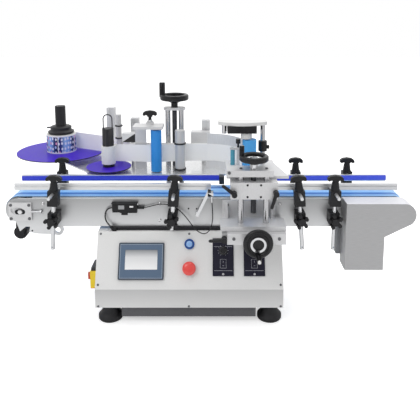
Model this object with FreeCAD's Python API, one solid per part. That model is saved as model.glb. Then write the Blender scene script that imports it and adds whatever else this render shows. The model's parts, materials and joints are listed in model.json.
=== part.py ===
import FreeCAD, Part
import math
import os

from FreeCAD import Rotation, Vector

# Desktop labelling machine for round bottles: a cabinet that carries a belt conveyor, a label head on
# lifting columns behind the belt and a wrapping station on a cross slide in front of it.
# Millimetres. The origin is on the table under the middle of the machine.
# +X is the way the bottles travel, +Y is to the rear, away from the operator, +Z is up.

# Cabinet
CABINET_LEFT = -279.0
CABINET_RIGHT = 254.0
CABINET_FRONT = -225.0
CABINET_REAR = 195.0
CABINET_BOTTOM = 57.0
CABINET_TOP = 257.0
LOWER_FACE_TOP = 112.0
PANEL_SETBACK = 68.0
SHEET = 2.0
PLINTH_BOTTOM = 18.0
PLINTH_LEFT = -208.0
PLINTH_RIGHT = 178.0
PLINTH_INSET = 20.0
PANEL_RISE = CABINET_TOP - LOWER_FACE_TOP
PANEL_ANGLE = math.degrees(math.atan2(PANEL_RISE, PANEL_SETBACK))

# Feet
FOOT_RADIUS = 35.5
FOOT_HEIGHT = 50.0
FOOT_PLATE = 7.0
FOOT_INSET_X = 34.0
FOOT_INSET_Y = 50.0
STUD_RADIUS = 5.0
FOOT_XS = (CABINET_LEFT + FOOT_INSET_X, CABINET_RIGHT - FOOT_INSET_X)
FOOT_YS = (CABINET_FRONT + FOOT_INSET_Y, CABINET_REAR - FOOT_INSET_Y)

# Control panel
SCREEN_WIDTH = 130.0
SCREEN_HEIGHT = 102.0
SCREEN_FRAME = 9.0
SCREEN_GLASS_WIDTH = 92.0
SCREEN_GLASS_HEIGHT = 54.0
SCREEN_X = -150.0
SCREEN_UP = 77.0
BUTTON_X = -13.0
START_UP = 124.0
STOP_UP = 57.0
START_COLLAR = 5.0
STOP_COLLAR = 4.0
BUTTON_RADIUS = 11.0
BUTTON_RING = 14.5
MUSHROOM_RADIUS = 19.0
BUTTON_TRAVEL = 3.0
CONTROLLER_WIDTH = 60.0
CONTROLLER_HEIGHT = 104.0
CONTROLLER_UP = 88.0
CONTROLLER_XS = (84.0, 173.0)
DIAL_RADIUS = 12.0
DIAL_SKIRT = 3.0
DIAL_HEIGHT = 13.0
DIAL_OFFSET = 18.0
DIAL_GRIP = 8.0
CONTROLLER_LIP = 4.0
CONTROLLER_PLATE = 3.0
CONTROLLER_BODY = 45.0
SCREEN_STAND = 6.0
SCREEN_BODY = 32.0
SCREEN_GLASS_RISE = 4.0
BUTTON_DEPTH = 24.0
BUTTON_BORE = 8.8
DIAL_SPINDLE = 3.0
SWITCH_Y = (-190.0, -132.0)
SWITCH_Z = (95.0, 149.0)
SWITCH_DEPTH = 20.0
SWITCH_CAP = 10.0
SWITCH_KNOB_RADIUS = 11.0

# Conveyor
BELT_TOP = 354.0
BELT_WIDTH = 104.0
BELT_THICKNESS = 2.0
FRAME_FRONT = -140.0
FRAME_WIDTH = 120.0
SIDE_PLATE = 5.0
SIDE_PLATE_BOTTOM = 265.0
TAIL_X = -515.0
DRIVE_X = 585.0
ROLLER_RADIUS = 36.0
ROLLER_JOURNAL = 7.5
TAIL_NOSE_RADIUS = 36.0
SNUB_X = -513.0
SNUB_Z = 243.0
SNUB_RADIUS = 20.0
RUNNING = 0.05
GAP = 0.3
PLATE_TOP = 350.0
TIE_XS = (-380.0, -120.0, 140.0, 400.0)
TIE_RADIUS = 8.0
FRAME_SCREWS = ((-441.0, 334.0), (-100.0, 334.0), (-101.0, 284.0), (250.0, 334.0))
LUG = ((-383.0, 285.0), (-383.0, 265.0), (-401.0, 240.0), (-422.0, 240.0), (-463.0, 242.0), (-485.0, 247.0))
LUG_HEEL = ((-482.0, 263.5), (-503.0, 264.5), (-519.0, 271.0), (-519.0, 300.0))
BOSS_X = -401.0
BOSS_Z = 254.0
BOSS_RADIUS = 17.0
BOSS_BORE = 8.0
BLOCK_LENGTH = 66.0
BLOCK_HEIGHT = 54.0
BLOCK_THICKNESS = 8.0
SNUB_AXLE = 6.0
FRAME_BACK = FRAME_FRONT + FRAME_WIDTH
ROLLER_Z = BELT_TOP - BELT_THICKNESS - ROLLER_RADIUS
BELT_YS = (FRAME_FRONT + (FRAME_WIDTH - BELT_WIDTH) / 2, FRAME_BACK - (FRAME_WIDTH - BELT_WIDTH) / 2)
ROLLER_FIT = 0.1
RISER_LEFT = -242.0
RISER_RIGHT = 236.0

# Drive cover
COVER_LEFT = 430.0
COVER_DEPTH = 60.0
COVER_BOTTOM = 158.0
COVER_STEP_X = 540.0
COVER_STEP_Z = 257.0
COVER_NOSE_X = 593.0
COVER_NOSE_Z = 321.0
COVER_NOSE_RADIUS = 34.0
PULLEY_OFFSET = 14.0
PULLEY_WIDTH = 16.0
PULLEY_RADIUS = 18.0
MOTOR_X = 458.0
MOTOR_Z = 232.0
MOTOR_RADIUS = 32.0

# Guide rails and their brackets
RAIL_BOTTOM = 370.0
RAIL_HEIGHT = 19.0
RAIL_THICKNESS = 9.0
FRONT_RAIL_Y = -120.0
REAR_RAIL_Y = -33.0
LEFT_RAIL_START = -528.0
RIGHT_RAIL_START = 245.0
LEFT_RAIL_LENGTH = 577.0
RIGHT_RAIL_LENGTH = 351.0
REAR_RAIL_SHIFT = -7.0
REAR_LEFT_EXTRA = 32.0
FRONT_BRACKET_XS = (-403.0, -62.0, 306.0, 402.0)
LEAN = {-403.0: 3.6, -62.0: 4.4, 306.0: -4.3}
SHORT_ROD_X = -62.0
SHORT_ROD_BOTTOM = 268.0
REAR_BRACKET_XS = (-424.0, 318.0, 481.0)
BRACKET_OFFSET = 32.0
BRACKET_ROD_RADIUS = 6.0
BRACKET_ROD_BOTTOM = 209.0
BRACKET_ROD_TOP = 352.0
RAIL_ROD_RADIUS = 4.5
RAIL_TRAVEL = 20.0
CLAMP_HALF = 15.0
CLAMP_DEPTH = 13.0
CLAMP_BOTTOM = 341.0
CLAMP_TOP = 386.0
STEM_FOOT = 12.5
STEM_RADIUS = 9.5
STEM_TOP = 410.0
TEE_HALF = 22.5
TEE_TOP = 430.0
TEE_DEPTH = 14.0
STAR_Z = 298.0
STAR_RADIUS = 22.0
BRACKET_Z = (283.0, 319.0)
ROD_FIT = 0.05
RAIL_ROD_Z = RAIL_BOTTOM + 3.0
ROD_REACH = 38.0
REAR_ROD_REACH = 24.0
BRACKET_FRONT_Y = FRAME_FRONT - BRACKET_OFFSET
BRACKET_REAR_Y = FRAME_BACK + BRACKET_OFFSET + 3.0

# Label head: the deck that rides on two columns
COLUMN_XS = (-93.0, -49.0)
COLUMN_Y = 95.0
COLUMN_RADIUS = 8.5
COLUMN_TOP = 570.0
TOP_PLATE = 9.0
HEAD_SCREW_RADIUS = 8.0
HEAD_WHEEL_RADIUS = 46.5
HEAD_WHEEL_WIDTH = 18.0
WHEEL_RIM = 14.0
WHEEL_DISH = 9.0
WHEEL_WEB = 5.0
HEAD_WHEEL_Z = 612.0
HEAD_GRIP_RADIUS = 9.5
HEAD_GRIP_TOP = 661.0
DECK_BOTTOM = 378.0
DECK = 5.0
DECK_FRONT = -8.0
DECK_RIGHT = 96.0
REEL_X = -475.0
REEL_Y = 195.0
REEL_RADIUS = 150.0
REEL_BOTTOM = 404.0
REEL_DISC = 3.0
ROLL_RADIUS = 50.0
ROLL_HEIGHT = 62.0
REEL_SPINDLE_RADIUS = 18.0
REEL_SPINDLE_TOP = 566.0
REWIND_X = -279.0
REWIND_Y = 30.0
REWIND_DISC_RADIUS = 71.0
REWIND_RADIUS = 18.0
REWIND_DISC_Z = 395.0
REWIND_TOP = 522.0
WEB_LOW = 409.0
WEB_HEIGHT = 56.0
WEB = 0.5
REAR_GUIDE = (-261.0, 128.0)
REAR_GUIDE_RADIUS = 9.0
REAR_GUIDE_TOP = 548.0
FRONT_GUIDE = (-50.0, 34.0)
FRONT_GUIDE_RADIUS = 16.0
FRONT_GUIDE_TOP = 515.0
TRACTION = (-125.0, 20.0)
TRACTION_RADIUS = 17.0
PINCH_RADIUS = 9.0
TRACTION_TOP = 519.0
HOUSING_TOP = 533.0
PEEL_START = (36.0, 58.0)
PEEL_TIP = (146.0, -18.0)
PEEL_RADIUS = 130.0
PEEL_HEIGHT = 116.0
PEEL_FOOT = 20.0
PEEL_SHEET = 2.5
POST_SIDE = 28.0
POSTS = ((-302.0, 215.0, 557.0), (-215.0, 190.0, 525.0), (31.0, 150.0, 526.0))
SHAFT_RADIUS = 5.0
SHAFT_FIT = 0.05
SCREW_X = (COLUMN_XS[0] + COLUMN_XS[1]) / 2
LIFT_BLOCK_BOTTOM = 352.0
HEAD_BLOCK_HALF = 42.0
DECK_SHOULDER = ((-425.0, 104.0), (-350.0, 20.0))
DECK_FRONT_CORNER = -340.0
DECK_REAR = 178.0
DECK_TAIL_REAR = 235.0
DECK_TAIL_XS = (-330.0, -200.0)
PEEL_BOX_XS = (-18.0, 44.0)
PEEL_BOX_YS = (100.0, 136.0)
PEEL_BOX_LIFT = 37.0
PEEL_BOX_HEIGHT = 73.0
PEEL_BOX_FOOT_XS = (24.0, 38.0)
PEEL_BOX_FOOT_DEPTH = 14.0
HEAD_JOURNAL = 6.0
DECK_TOP = DECK_BOTTOM + DECK
PINCH = (TRACTION[0], TRACTION[1] + TRACTION_RADIUS + PINCH_RADIUS + 2 * GAP + WEB)
CLAMP_FLANGE = 41.0
BAIL_HALF = 14.0
BAIL_WIRE = 1.8
BAIL_TOP = 566.0
LINER_RADIUS = 22.0
ROLLER_LOW = DECK_TOP + 3.0
SENSOR_X = -215.0
SENSOR_Y = 72.0
SENSOR_Z = (467.0, 496.0)

# Wrapping station on its cross slide, in front of the belt
SLIDE_LEFT = 75.0
SLIDE_RIGHT = 254.0
SLIDE_FRONT = -272.0
SLIDE_WAY_BOTTOM = 267.0
SLIDE_WAY_TOP = 297.7
SADDLE_TOP = 311.0
SADDLE_FRONT = -255.0
SADDLE_DEPTH = 60.0
SLIDE_SCREW_X = 174.0
SLIDE_SCREW_Z = 282.0
SLIDE_SCREW_RADIUS = 6.0
SLIDE_WHEEL_RADIUS = 40.0
SLIDE_WHEEL_Y = -300.0
SLIDE_WHEEL_WIDTH = 14.0
SLIDE_GRIP_TIP = -345.0
LIFT_POST_XS = (131.0, 201.0)
LIFT_Y = -225.0
LIFT_POST_RADIUS = 8.0
LIFT_POST_TOP = 447.0
LIFT_SCREW_RADIUS = 7.5
LIFT_SCREW_BOTTOM = 340.0
CARRIAGE_LEFT = 102.0
CARRIAGE_WIDTH = 128.0
CARRIAGE_DEPTH = 50.0
CARRIAGE_BOTTOM = 386.0
CARRIAGE_HEIGHT = 47.0
LIFT_BLOCK_TOP = 465.0
LIFT_BLOCK_XS = (92.0, 218.0)
SLIDE_PLATE_XS = (82.0, 236.0)
SLIDE_PLATE_TOP = 347.0
SLIDE_RIB_XS = (92.0, 222.0)
SLIDE_RIB_TOP = 342.0
CARRIAGE_HOLE_XS = (-18.0, 18.0)
CARRIAGE_HOLE_INSET = 7.0
CARRIAGE_HOLE_RADIUS = 3.0
ARM_LEFT = 92.0
ARM_RIGHT = 237.0
ARM_CORNER = 263.6
ARM_NOTCH = (134.0, 190.0)
ARM_NOTCH_DEPTH = 34.0
CASE_XS = (97.0, 182.0)
CASE_FRONT = 20.0
CASE_REAR = 32.0
LIFT_WHEEL_RADIUS = 40.0
LIFT_WHEEL_Z = 495.0
LIFT_WHEEL_WIDTH = 15.0
LIFT_GRIP_RADIUS = 7.0
LIFT_GRIP_TOP = 530.0
ARM_PLATE = 8.0
ARM_SETBACK = 11.0
ARM_REAR = -50.0
WRAP_X = 162.0
WRAP_Y = -100.0
WRAP_RADIUS = 20.5
WRAP_BOTTOM = 375.0
WRAP_TOP = 517.0
IDLE_X = 113.0
IDLE_RADIUS = 6.5
CASE_BOTTOM = 538.0
IDLE_TOP = CASE_BOTTOM - 45.0
HEAD_PLATE_BOTTOM = 560.0
HEAD_PLATE = 10.0
HEAD_PLATE_HALF = 72.0
HEAD_PLATE_X = 142.0
HEAD_PLATE_FRONT = -122.0
HEAD_PLATE_REAR = -62.0
ARM_POST_X = 203.0
ARM_POST_Y = -78.0
ARM_POST_RADIUS = 7.5
COLLAR_Z = (477.0, 508.0)
PLATE_Y = FRAME_FRONT - 8.0
SLOT_HALF = 10.0
LIFT_X = (LIFT_POST_XS[0] + LIFT_POST_XS[1]) / 2
SLIDE_NUT = (-240.0, -212.0)
SLIDE_BEARING = SLIDE_FRONT + 20.0
LIFT_JOURNAL = 6.0

# Sensor on the front plate and its two leads
AMPLIFIER_X = -237.0
AMPLIFIER_LENGTH = 72.0
AMPLIFIER_HEIGHT = 27.0
AMPLIFIER_DEPTH = 12.0
AMPLIFIER_BOTTOM = 311.0
CABLE_RADIUS = 2.0
GLAND_RADIUS = 4.5
FIBRE_RADIUS = 1.4
CABLE_ROUTE = (
    (-237.0, -148.0, 325.0),
    (-247.0, -148.0, 324.0),
    (-256.0, -149.0, 316.0),
    (-259.0, -150.0, 302.0),
    (-257.0, -151.0, 288.0),
    (-249.0, -153.0, 276.0),
    (-240.0, -154.0, 268.0),
)
FIBRE_HOLDER_X = 52.0
FIBRE_HOLDER_Y = -170.0
FIBRE_HOLDER_Z = (349.0, 381.0)
FIBRE_ROUTE = (
    (-145.0, -148.0, 325.0),
    (-127.0, -148.0, 329.0),
    (-100.0, -149.0, 337.0),
    (-72.0, -149.5, 335.0),
    (-47.0, -152.0, 324.0),
    (-24.0, -158.0, 302.0),
    (-7.0, -164.0, 280.0),
    (10.0, -169.0, 261.0),
    (32.0, -170.0, 252.0),
    (48.0, -170.0, 268.0),
    (54.0, -170.0, 293.0),
    (54.0, -170.0, 320.0),
    (52.0, -170.0, 349.0),
)


def box(x, y, z):
    """A block between the two values given on each axis."""
    corner = Vector(x[0], y[0], z[0])
    return Part.makeBox(x[1] - x[0], y[1] - y[0], z[1] - z[0], corner)


def rod(radius, start, end):
    """A round bar from one point to the other."""
    along = Vector(*end) - Vector(*start)
    return Part.makeCylinder(radius, along.Length, Vector(*start), along)


def ring(outer, inner, start, end):
    """A round bar with a hole through its length."""
    return rod(outer, start, end).cut(rod(inner, start, end))


def slab(points, along):
    """An outline of straight edges, swept along a vector."""
    wire = Part.makePolygon([Vector(*p) for p in points] + [Vector(*points[0])])
    return Part.Face(wire).extrude(Vector(*along))


def turned(profile, base):
    """A profile of (radius, height) points, turned about the vertical through a point."""
    points = [Vector(base[0] + r, base[1], base[2] + h) for r, h in profile]
    face = Part.Face(Part.makePolygon(points + [points[0]]))
    return face.revolve(Vector(*base), Vector(0, 0, 1), 360)


def arc_edge(a, b, c):
    """An arc through three points."""
    return Part.Arc(Vector(*a), Vector(*b), Vector(*c)).toShape()


def line_edge(a, b):
    """A straight edge between two points."""
    return Part.LineSegment(Vector(*a), Vector(*b)).toShape()


def save(node, *solids):
    """Writes one sub-part, as separate solids where it is a set of pieces."""
    shape = solids[0] if len(solids) == 1 else Part.makeCompound(list(solids))
    shape.exportStep("parts/" + node + ".step")


def on_panel(shape):
    """Lays a shape drawn as (across, up the slope, outwards) on the slanted control panel."""
    foot = Vector(0, CABINET_FRONT, LOWER_FACE_TOP)
    shape.Placement = FreeCAD.Placement(foot, Rotation(Vector(1, 0, 0), PANEL_ANGLE))
    return shape


def cabinet_section(inset, x):
    """The cabinet's side outline, its walls set in by a sheet's thickness."""
    slope = math.radians(PANEL_ANGLE)
    front = CABINET_FRONT + inset
    knee = LOWER_FACE_TOP + inset * (math.tan(slope) - 1 / math.cos(slope))
    brow = CABINET_FRONT + PANEL_SETBACK - inset / math.tan(slope) + inset / math.sin(slope)
    low = CABINET_BOTTOM + inset
    high = CABINET_TOP - inset
    rear = CABINET_REAR - inset
    return [(x, front, low), (x, front, knee), (x, brow, high), (x, rear, high), (x, rear, low)]


def panel_cutouts():
    """The openings in the panel for the screen, the buttons and the speed controllers."""
    deep = (-30.0, 10.0)
    half_w = SCREEN_WIDTH / 2 - SCREEN_FRAME
    half_h = SCREEN_HEIGHT / 2 - SCREEN_FRAME
    across = (SCREEN_X - half_w, SCREEN_X + half_w)
    cuts = [box(across, (SCREEN_UP - half_h, SCREEN_UP + half_h), deep)]
    for up in (START_UP, STOP_UP):
        cuts.append(rod(BUTTON_RADIUS, (BUTTON_X, up, deep[0]), (BUTTON_X, up, deep[1])))
    half_w = CONTROLLER_WIDTH / 2 - CONTROLLER_LIP
    half_h = CONTROLLER_HEIGHT / 2 - CONTROLLER_LIP * 2
    for x in CONTROLLER_XS:
        up = (CONTROLLER_UP - half_h, CONTROLLER_UP + half_h)
        cuts.append(box((x - half_w, x + half_w), up, deep))
    return on_panel(Part.makeCompound(cuts))


def make_cabinet():
    """The folded sheet-steel cabinet and the dark tray that closes it below."""
    width = CABINET_RIGHT - CABINET_LEFT
    outer = slab(cabinet_section(0, CABINET_LEFT), (width, 0, 0))
    inner = slab(cabinet_section(SHEET, CABINET_LEFT + SHEET), (width - 2 * SHEET, 0, 0))
    save("base_cabinet", outer.cut(inner).cut(panel_cutouts()))
    ys = (CABINET_FRONT + PLINTH_INSET, CABINET_REAR - PLINTH_INSET)
    tray = box((PLINTH_LEFT, PLINTH_RIGHT), ys, (PLINTH_BOTTOM, CABINET_BOTTOM))
    hollow_xs = (PLINTH_LEFT + SHEET, PLINTH_RIGHT - SHEET)
    hollow_ys = (ys[0] + SHEET, ys[1] - SHEET)
    tray = tray.cut(box(hollow_xs, hollow_ys, (PLINTH_BOTTOM + SHEET, CABINET_BOTTOM)))
    save("base_plinth", tray, *foot_plates())


def foot_plates():
    """The round steel plates between the feet and the cabinet floor."""
    plates = []
    for x in FOOT_XS:
        for y in FOOT_YS:
            plates.append(rod(FOOT_RADIUS - 8, (x, y, FOOT_HEIGHT), (x, y, FOOT_HEIGHT + FOOT_PLATE)))
    return plates


def make_feet():
    """Bell-shaped rubber feet."""
    bell = [(0, 0), (FOOT_RADIUS - 2, 0), (FOOT_RADIUS, 3), (FOOT_RADIUS, 12), (27, 20), (23, 34)]
    bell += [(21, FOOT_HEIGHT - 2), (19, FOOT_HEIGHT), (0, FOOT_HEIGHT)]
    feet = []
    for x in FOOT_XS:
        for y in FOOT_YS:
            feet.append(turned(bell, (x, y, 0)))
    save("rubber_feet", *feet)


def make_touch_screen():
    """The operator's touch screen, clipped into the panel, with its glass in a bezel."""
    half_w = SCREEN_WIDTH / 2
    half_h = SCREEN_HEIGHT / 2
    frame_ups = (SCREEN_UP - half_h, SCREEN_UP + half_h)
    frame = box((SCREEN_X - half_w, SCREEN_X + half_w), frame_ups, (0, SCREEN_STAND))
    rims = [e for e in frame.Edges if abs(e.tangentAt(e.FirstParameter).z) > 0.9]
    frame = frame.makeFillet(4.0, rims)
    glass_w = SCREEN_GLASS_WIDTH / 2
    glass_h = SCREEN_GLASS_HEIGHT / 2
    xs = (SCREEN_X - glass_w, SCREEN_X + glass_w)
    ups = (SCREEN_UP - glass_h + SCREEN_GLASS_RISE, SCREEN_UP + glass_h + SCREEN_GLASS_RISE)
    window = box(xs, ups, (SCREEN_STAND - 2.0, SCREEN_STAND))
    body_w = half_w - SCREEN_FRAME - GAP
    body_h = half_h - SCREEN_FRAME - GAP
    back_xs = (SCREEN_X - body_w, SCREEN_X + body_w)
    back = box(back_xs, (SCREEN_UP - body_h, SCREEN_UP + body_h), (-SCREEN_BODY, 0))
    glass = box(xs, ups, (SCREEN_STAND - 2.0, SCREEN_STAND - 0.8))
    save("touch_screen", on_panel(frame.cut(window).fuse(back)), on_panel(glass))


def make_buttons():
    """The start button and the stop mushroom, each sliding in its own threaded collar."""
    collars = []
    plungers = []
    for up, reach in ((START_UP, START_COLLAR), (STOP_UP, STOP_COLLAR)):
        spot = (BUTTON_X, up)
        collar = rod(BUTTON_RING, (*spot, 0), (*spot, reach))
        collar = collar.fuse(rod(BUTTON_RADIUS - GAP, (*spot, -BUTTON_DEPTH), (*spot, 0)))
        collars.append(on_panel(collar.cut(rod(BUTTON_BORE, (*spot, -BUTTON_DEPTH), (*spot, reach)))))
        stem = rod(BUTTON_BORE - RUNNING, (*spot, -BUTTON_DEPTH + 8.0), (*spot, reach + 2.0))
        plungers.append(stem)
    lens_base = (BUTTON_X, START_UP, START_COLLAR + BUTTON_TRAVEL + GAP)
    lens = rod(BUTTON_BORE - RUNNING, (BUTTON_X, START_UP, 7.0), lens_base)
    start = plungers[0].fuse(lens).fuse(turned([(0, 0), (8.8, 0), (8.8, 1), (7, 2.2), (0, 2.8)], lens_base))
    cap_base = (BUTTON_X, STOP_UP, STOP_COLLAR + BUTTON_TRAVEL + GAP)
    neck = rod(BUTTON_BORE - RUNNING, (BUTTON_X, STOP_UP, 6.0), cap_base)
    dome = [(0, 0), (MUSHROOM_RADIUS - 2, 0), (MUSHROOM_RADIUS, 2), (MUSHROOM_RADIUS, 6)]
    dome += [(MUSHROOM_RADIUS - 3, 10), (MUSHROOM_RADIUS - 9, 12.5), (0, 13.5)]
    stop = plungers[1].fuse(neck).fuse(turned(dome, cap_base))
    save("start_button", on_panel(start))
    save("stop_button", on_panel(stop))
    return collars


def make_speed_controllers(collars):
    """Two speed controllers with a rocker each; the dial is a separate knob on its spindle."""
    plates = []
    half_w = CONTROLLER_WIDTH / 2
    half_h = CONTROLLER_HEIGHT / 2
    for x, node in zip(CONTROLLER_XS, ("left_speed_dial", "right_speed_dial")):
        ups = (CONTROLLER_UP - half_h, CONTROLLER_UP + half_h)
        plate = box((x - half_w, x + half_w), ups, (0, CONTROLLER_PLATE))
        body_w = half_w - CONTROLLER_LIP - GAP
        body_h = half_h - CONTROLLER_LIP * 2 - GAP
        body_ups = (CONTROLLER_UP - body_h, CONTROLLER_UP + body_h)
        plate = plate.fuse(box((x - body_w, x + body_w), body_ups, (-CONTROLLER_BODY, 0)))
        rocker_up = CONTROLLER_UP - DIAL_OFFSET
        rocker = slab([(x - 7, rocker_up - 10, 3), (x - 7, rocker_up + 10, 3), (x - 7, rocker_up + 10, 7),
                       (x - 7, rocker_up, 4.5), (x - 7, rocker_up - 10, 5.5)], (14, 0, 0))
        plate = plate.fuse(rocker)
        dial_up = CONTROLLER_UP + DIAL_OFFSET
        spindle = (x, dial_up)
        plate = plate.cut(rod(DIAL_SPINDLE + RUNNING, (*spindle, -10), (*spindle, CONTROLLER_PLATE)))
        for sign in (-1, 1):
            screw_up = CONTROLLER_UP + sign * (half_h - 5.5)
            plate = plate.fuse(rod(3.2, (x, screw_up, 0), (x, screw_up, CONTROLLER_PLATE + 1.6)))
        plates.append(on_panel(plate))
        dial_low = CONTROLLER_PLATE + GAP
        skirt = [(0, 0), (DIAL_RADIUS, 0), (DIAL_RADIUS, DIAL_SKIRT), (DIAL_GRIP + 1, DIAL_SKIRT * 1.5)]
        skirt += [(DIAL_GRIP, DIAL_HEIGHT), (0, DIAL_HEIGHT)]
        dial = turned(skirt, (x, dial_up, dial_low))
        dial = dial.fuse(rod(DIAL_SPINDLE, (*spindle, -8), (*spindle, dial_low)))
        pointer_zs = (dial_low + DIAL_HEIGHT - 1, dial_low + DIAL_HEIGHT + 1)
        pointer = box((x - 0.8, x + 0.8), (dial_up + 2, dial_up + DIAL_GRIP), pointer_zs)
        save(node, on_panel(dial.fuse(pointer)))
    save("speed_controllers", *(plates + collars))


def make_power_switch():
    """The main switch in its box on the left wall, with a rotary knob."""
    wall = CABINET_LEFT
    face = wall - SWITCH_DEPTH
    body = box((face, wall), SWITCH_Y, SWITCH_Z)
    edges = [e for e in body.Edges if abs(e.tangentAt(e.FirstParameter).x) > 0.9]
    body = body.makeFillet(4.0, edges)
    cap_ys = (SWITCH_Y[0] + 3.0, SWITCH_Y[1] - 3.0)
    body = body.fuse(box((wall - SWITCH_DEPTH + 3.0, wall), cap_ys, (SWITCH_Z[1], SWITCH_Z[1] + SWITCH_CAP)))
    middle = ((SWITCH_Y[0] + SWITCH_Y[1]) / 2, (SWITCH_Z[0] + SWITCH_Z[1]) / 2)
    body = body.cut(rod(3.0 + RUNNING, (face - 1, *middle), (face + 10, *middle)))
    knob = rod(SWITCH_KNOB_RADIUS, (face - 8, *middle), (face - GAP, *middle))
    grip_y = (middle[0] - 3.5, middle[0] + 3.5)
    grip_z = (middle[1] - SWITCH_KNOB_RADIUS + 1, middle[1] + SWITCH_KNOB_RADIUS - 1)
    knob = knob.fuse(box((face - 12, face - 7), grip_y, grip_z))
    knob = knob.fuse(rod(3.0, (face - GAP, *middle), (face + 8, *middle)))
    save("power_switch_box", body)
    save("power_switch_knob", knob)


def roundtrip(radius, y, thickness):
    """A flat slab between two end circles of the same radius, one at each roller."""
    z = ROLLER_Z
    left = (TAIL_X, y, z)
    right = (DRIVE_X, y, z)
    slab_part = box((TAIL_X, DRIVE_X), (y, y + thickness), (z - radius, z + radius))
    for centre in (left, right):
        slab_part = slab_part.fuse(rod(radius, centre, (centre[0], y + thickness, z)))
    return slab_part.removeSplitter()


def make_side_plate(y):
    """One side plate with its round tail end, the lug below it and the holes for the rollers."""
    nose_z = PLATE_TOP - TAIL_NOSE_RADIUS
    along = (0, SIDE_PLATE, 0)
    plate = box((TAIL_X, DRIVE_X), (y, y + SIDE_PLATE), (SIDE_PLATE_BOTTOM, PLATE_TOP))
    for x in (TAIL_X, DRIVE_X):
        plate = plate.fuse(rod(TAIL_NOSE_RADIUS, (x, y, nose_z), (x, y + SIDE_PLATE, nose_z)))
    corner = box((TAIL_X - 1, TAIL_X + 12), (y, y + SIDE_PLATE), (SIDE_PLATE_BOTTOM, nose_z - 20))
    lug = slab([(x, y, z) for x, z in LUG + LUG_HEEL], along)
    boss = rod(BOSS_RADIUS, (BOSS_X, y, BOSS_Z), (BOSS_X, y + SIDE_PLATE, BOSS_Z))
    plate = plate.cut(corner).fuse([lug, boss])
    hanger = [(SNUB_X - 12, y, SNUB_Z), (SNUB_X - 8, y, 300), (SNUB_X + 30, y, 300)]
    hanger.append((SNUB_X + 12, y, SNUB_Z))
    hanger = slab(hanger, along)
    plate = plate.fuse([hanger, rod(12, (SNUB_X, y, SNUB_Z), (SNUB_X, y + SIDE_PLATE, SNUB_Z))])
    bores = [(BOSS_X, BOSS_Z, BOSS_BORE), (SNUB_X, SNUB_Z, SNUB_AXLE + RUNNING)]
    bores += [(end_x, ROLLER_Z, ROLLER_JOURNAL + RUNNING) for end_x in (TAIL_X, DRIVE_X)]
    for x, z, radius in bores:
        plate = plate.cut(rod(radius, (x, y - 1, z), (x, y + SIDE_PLATE + 1, z)))
    return plate.removeSplitter()


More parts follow.
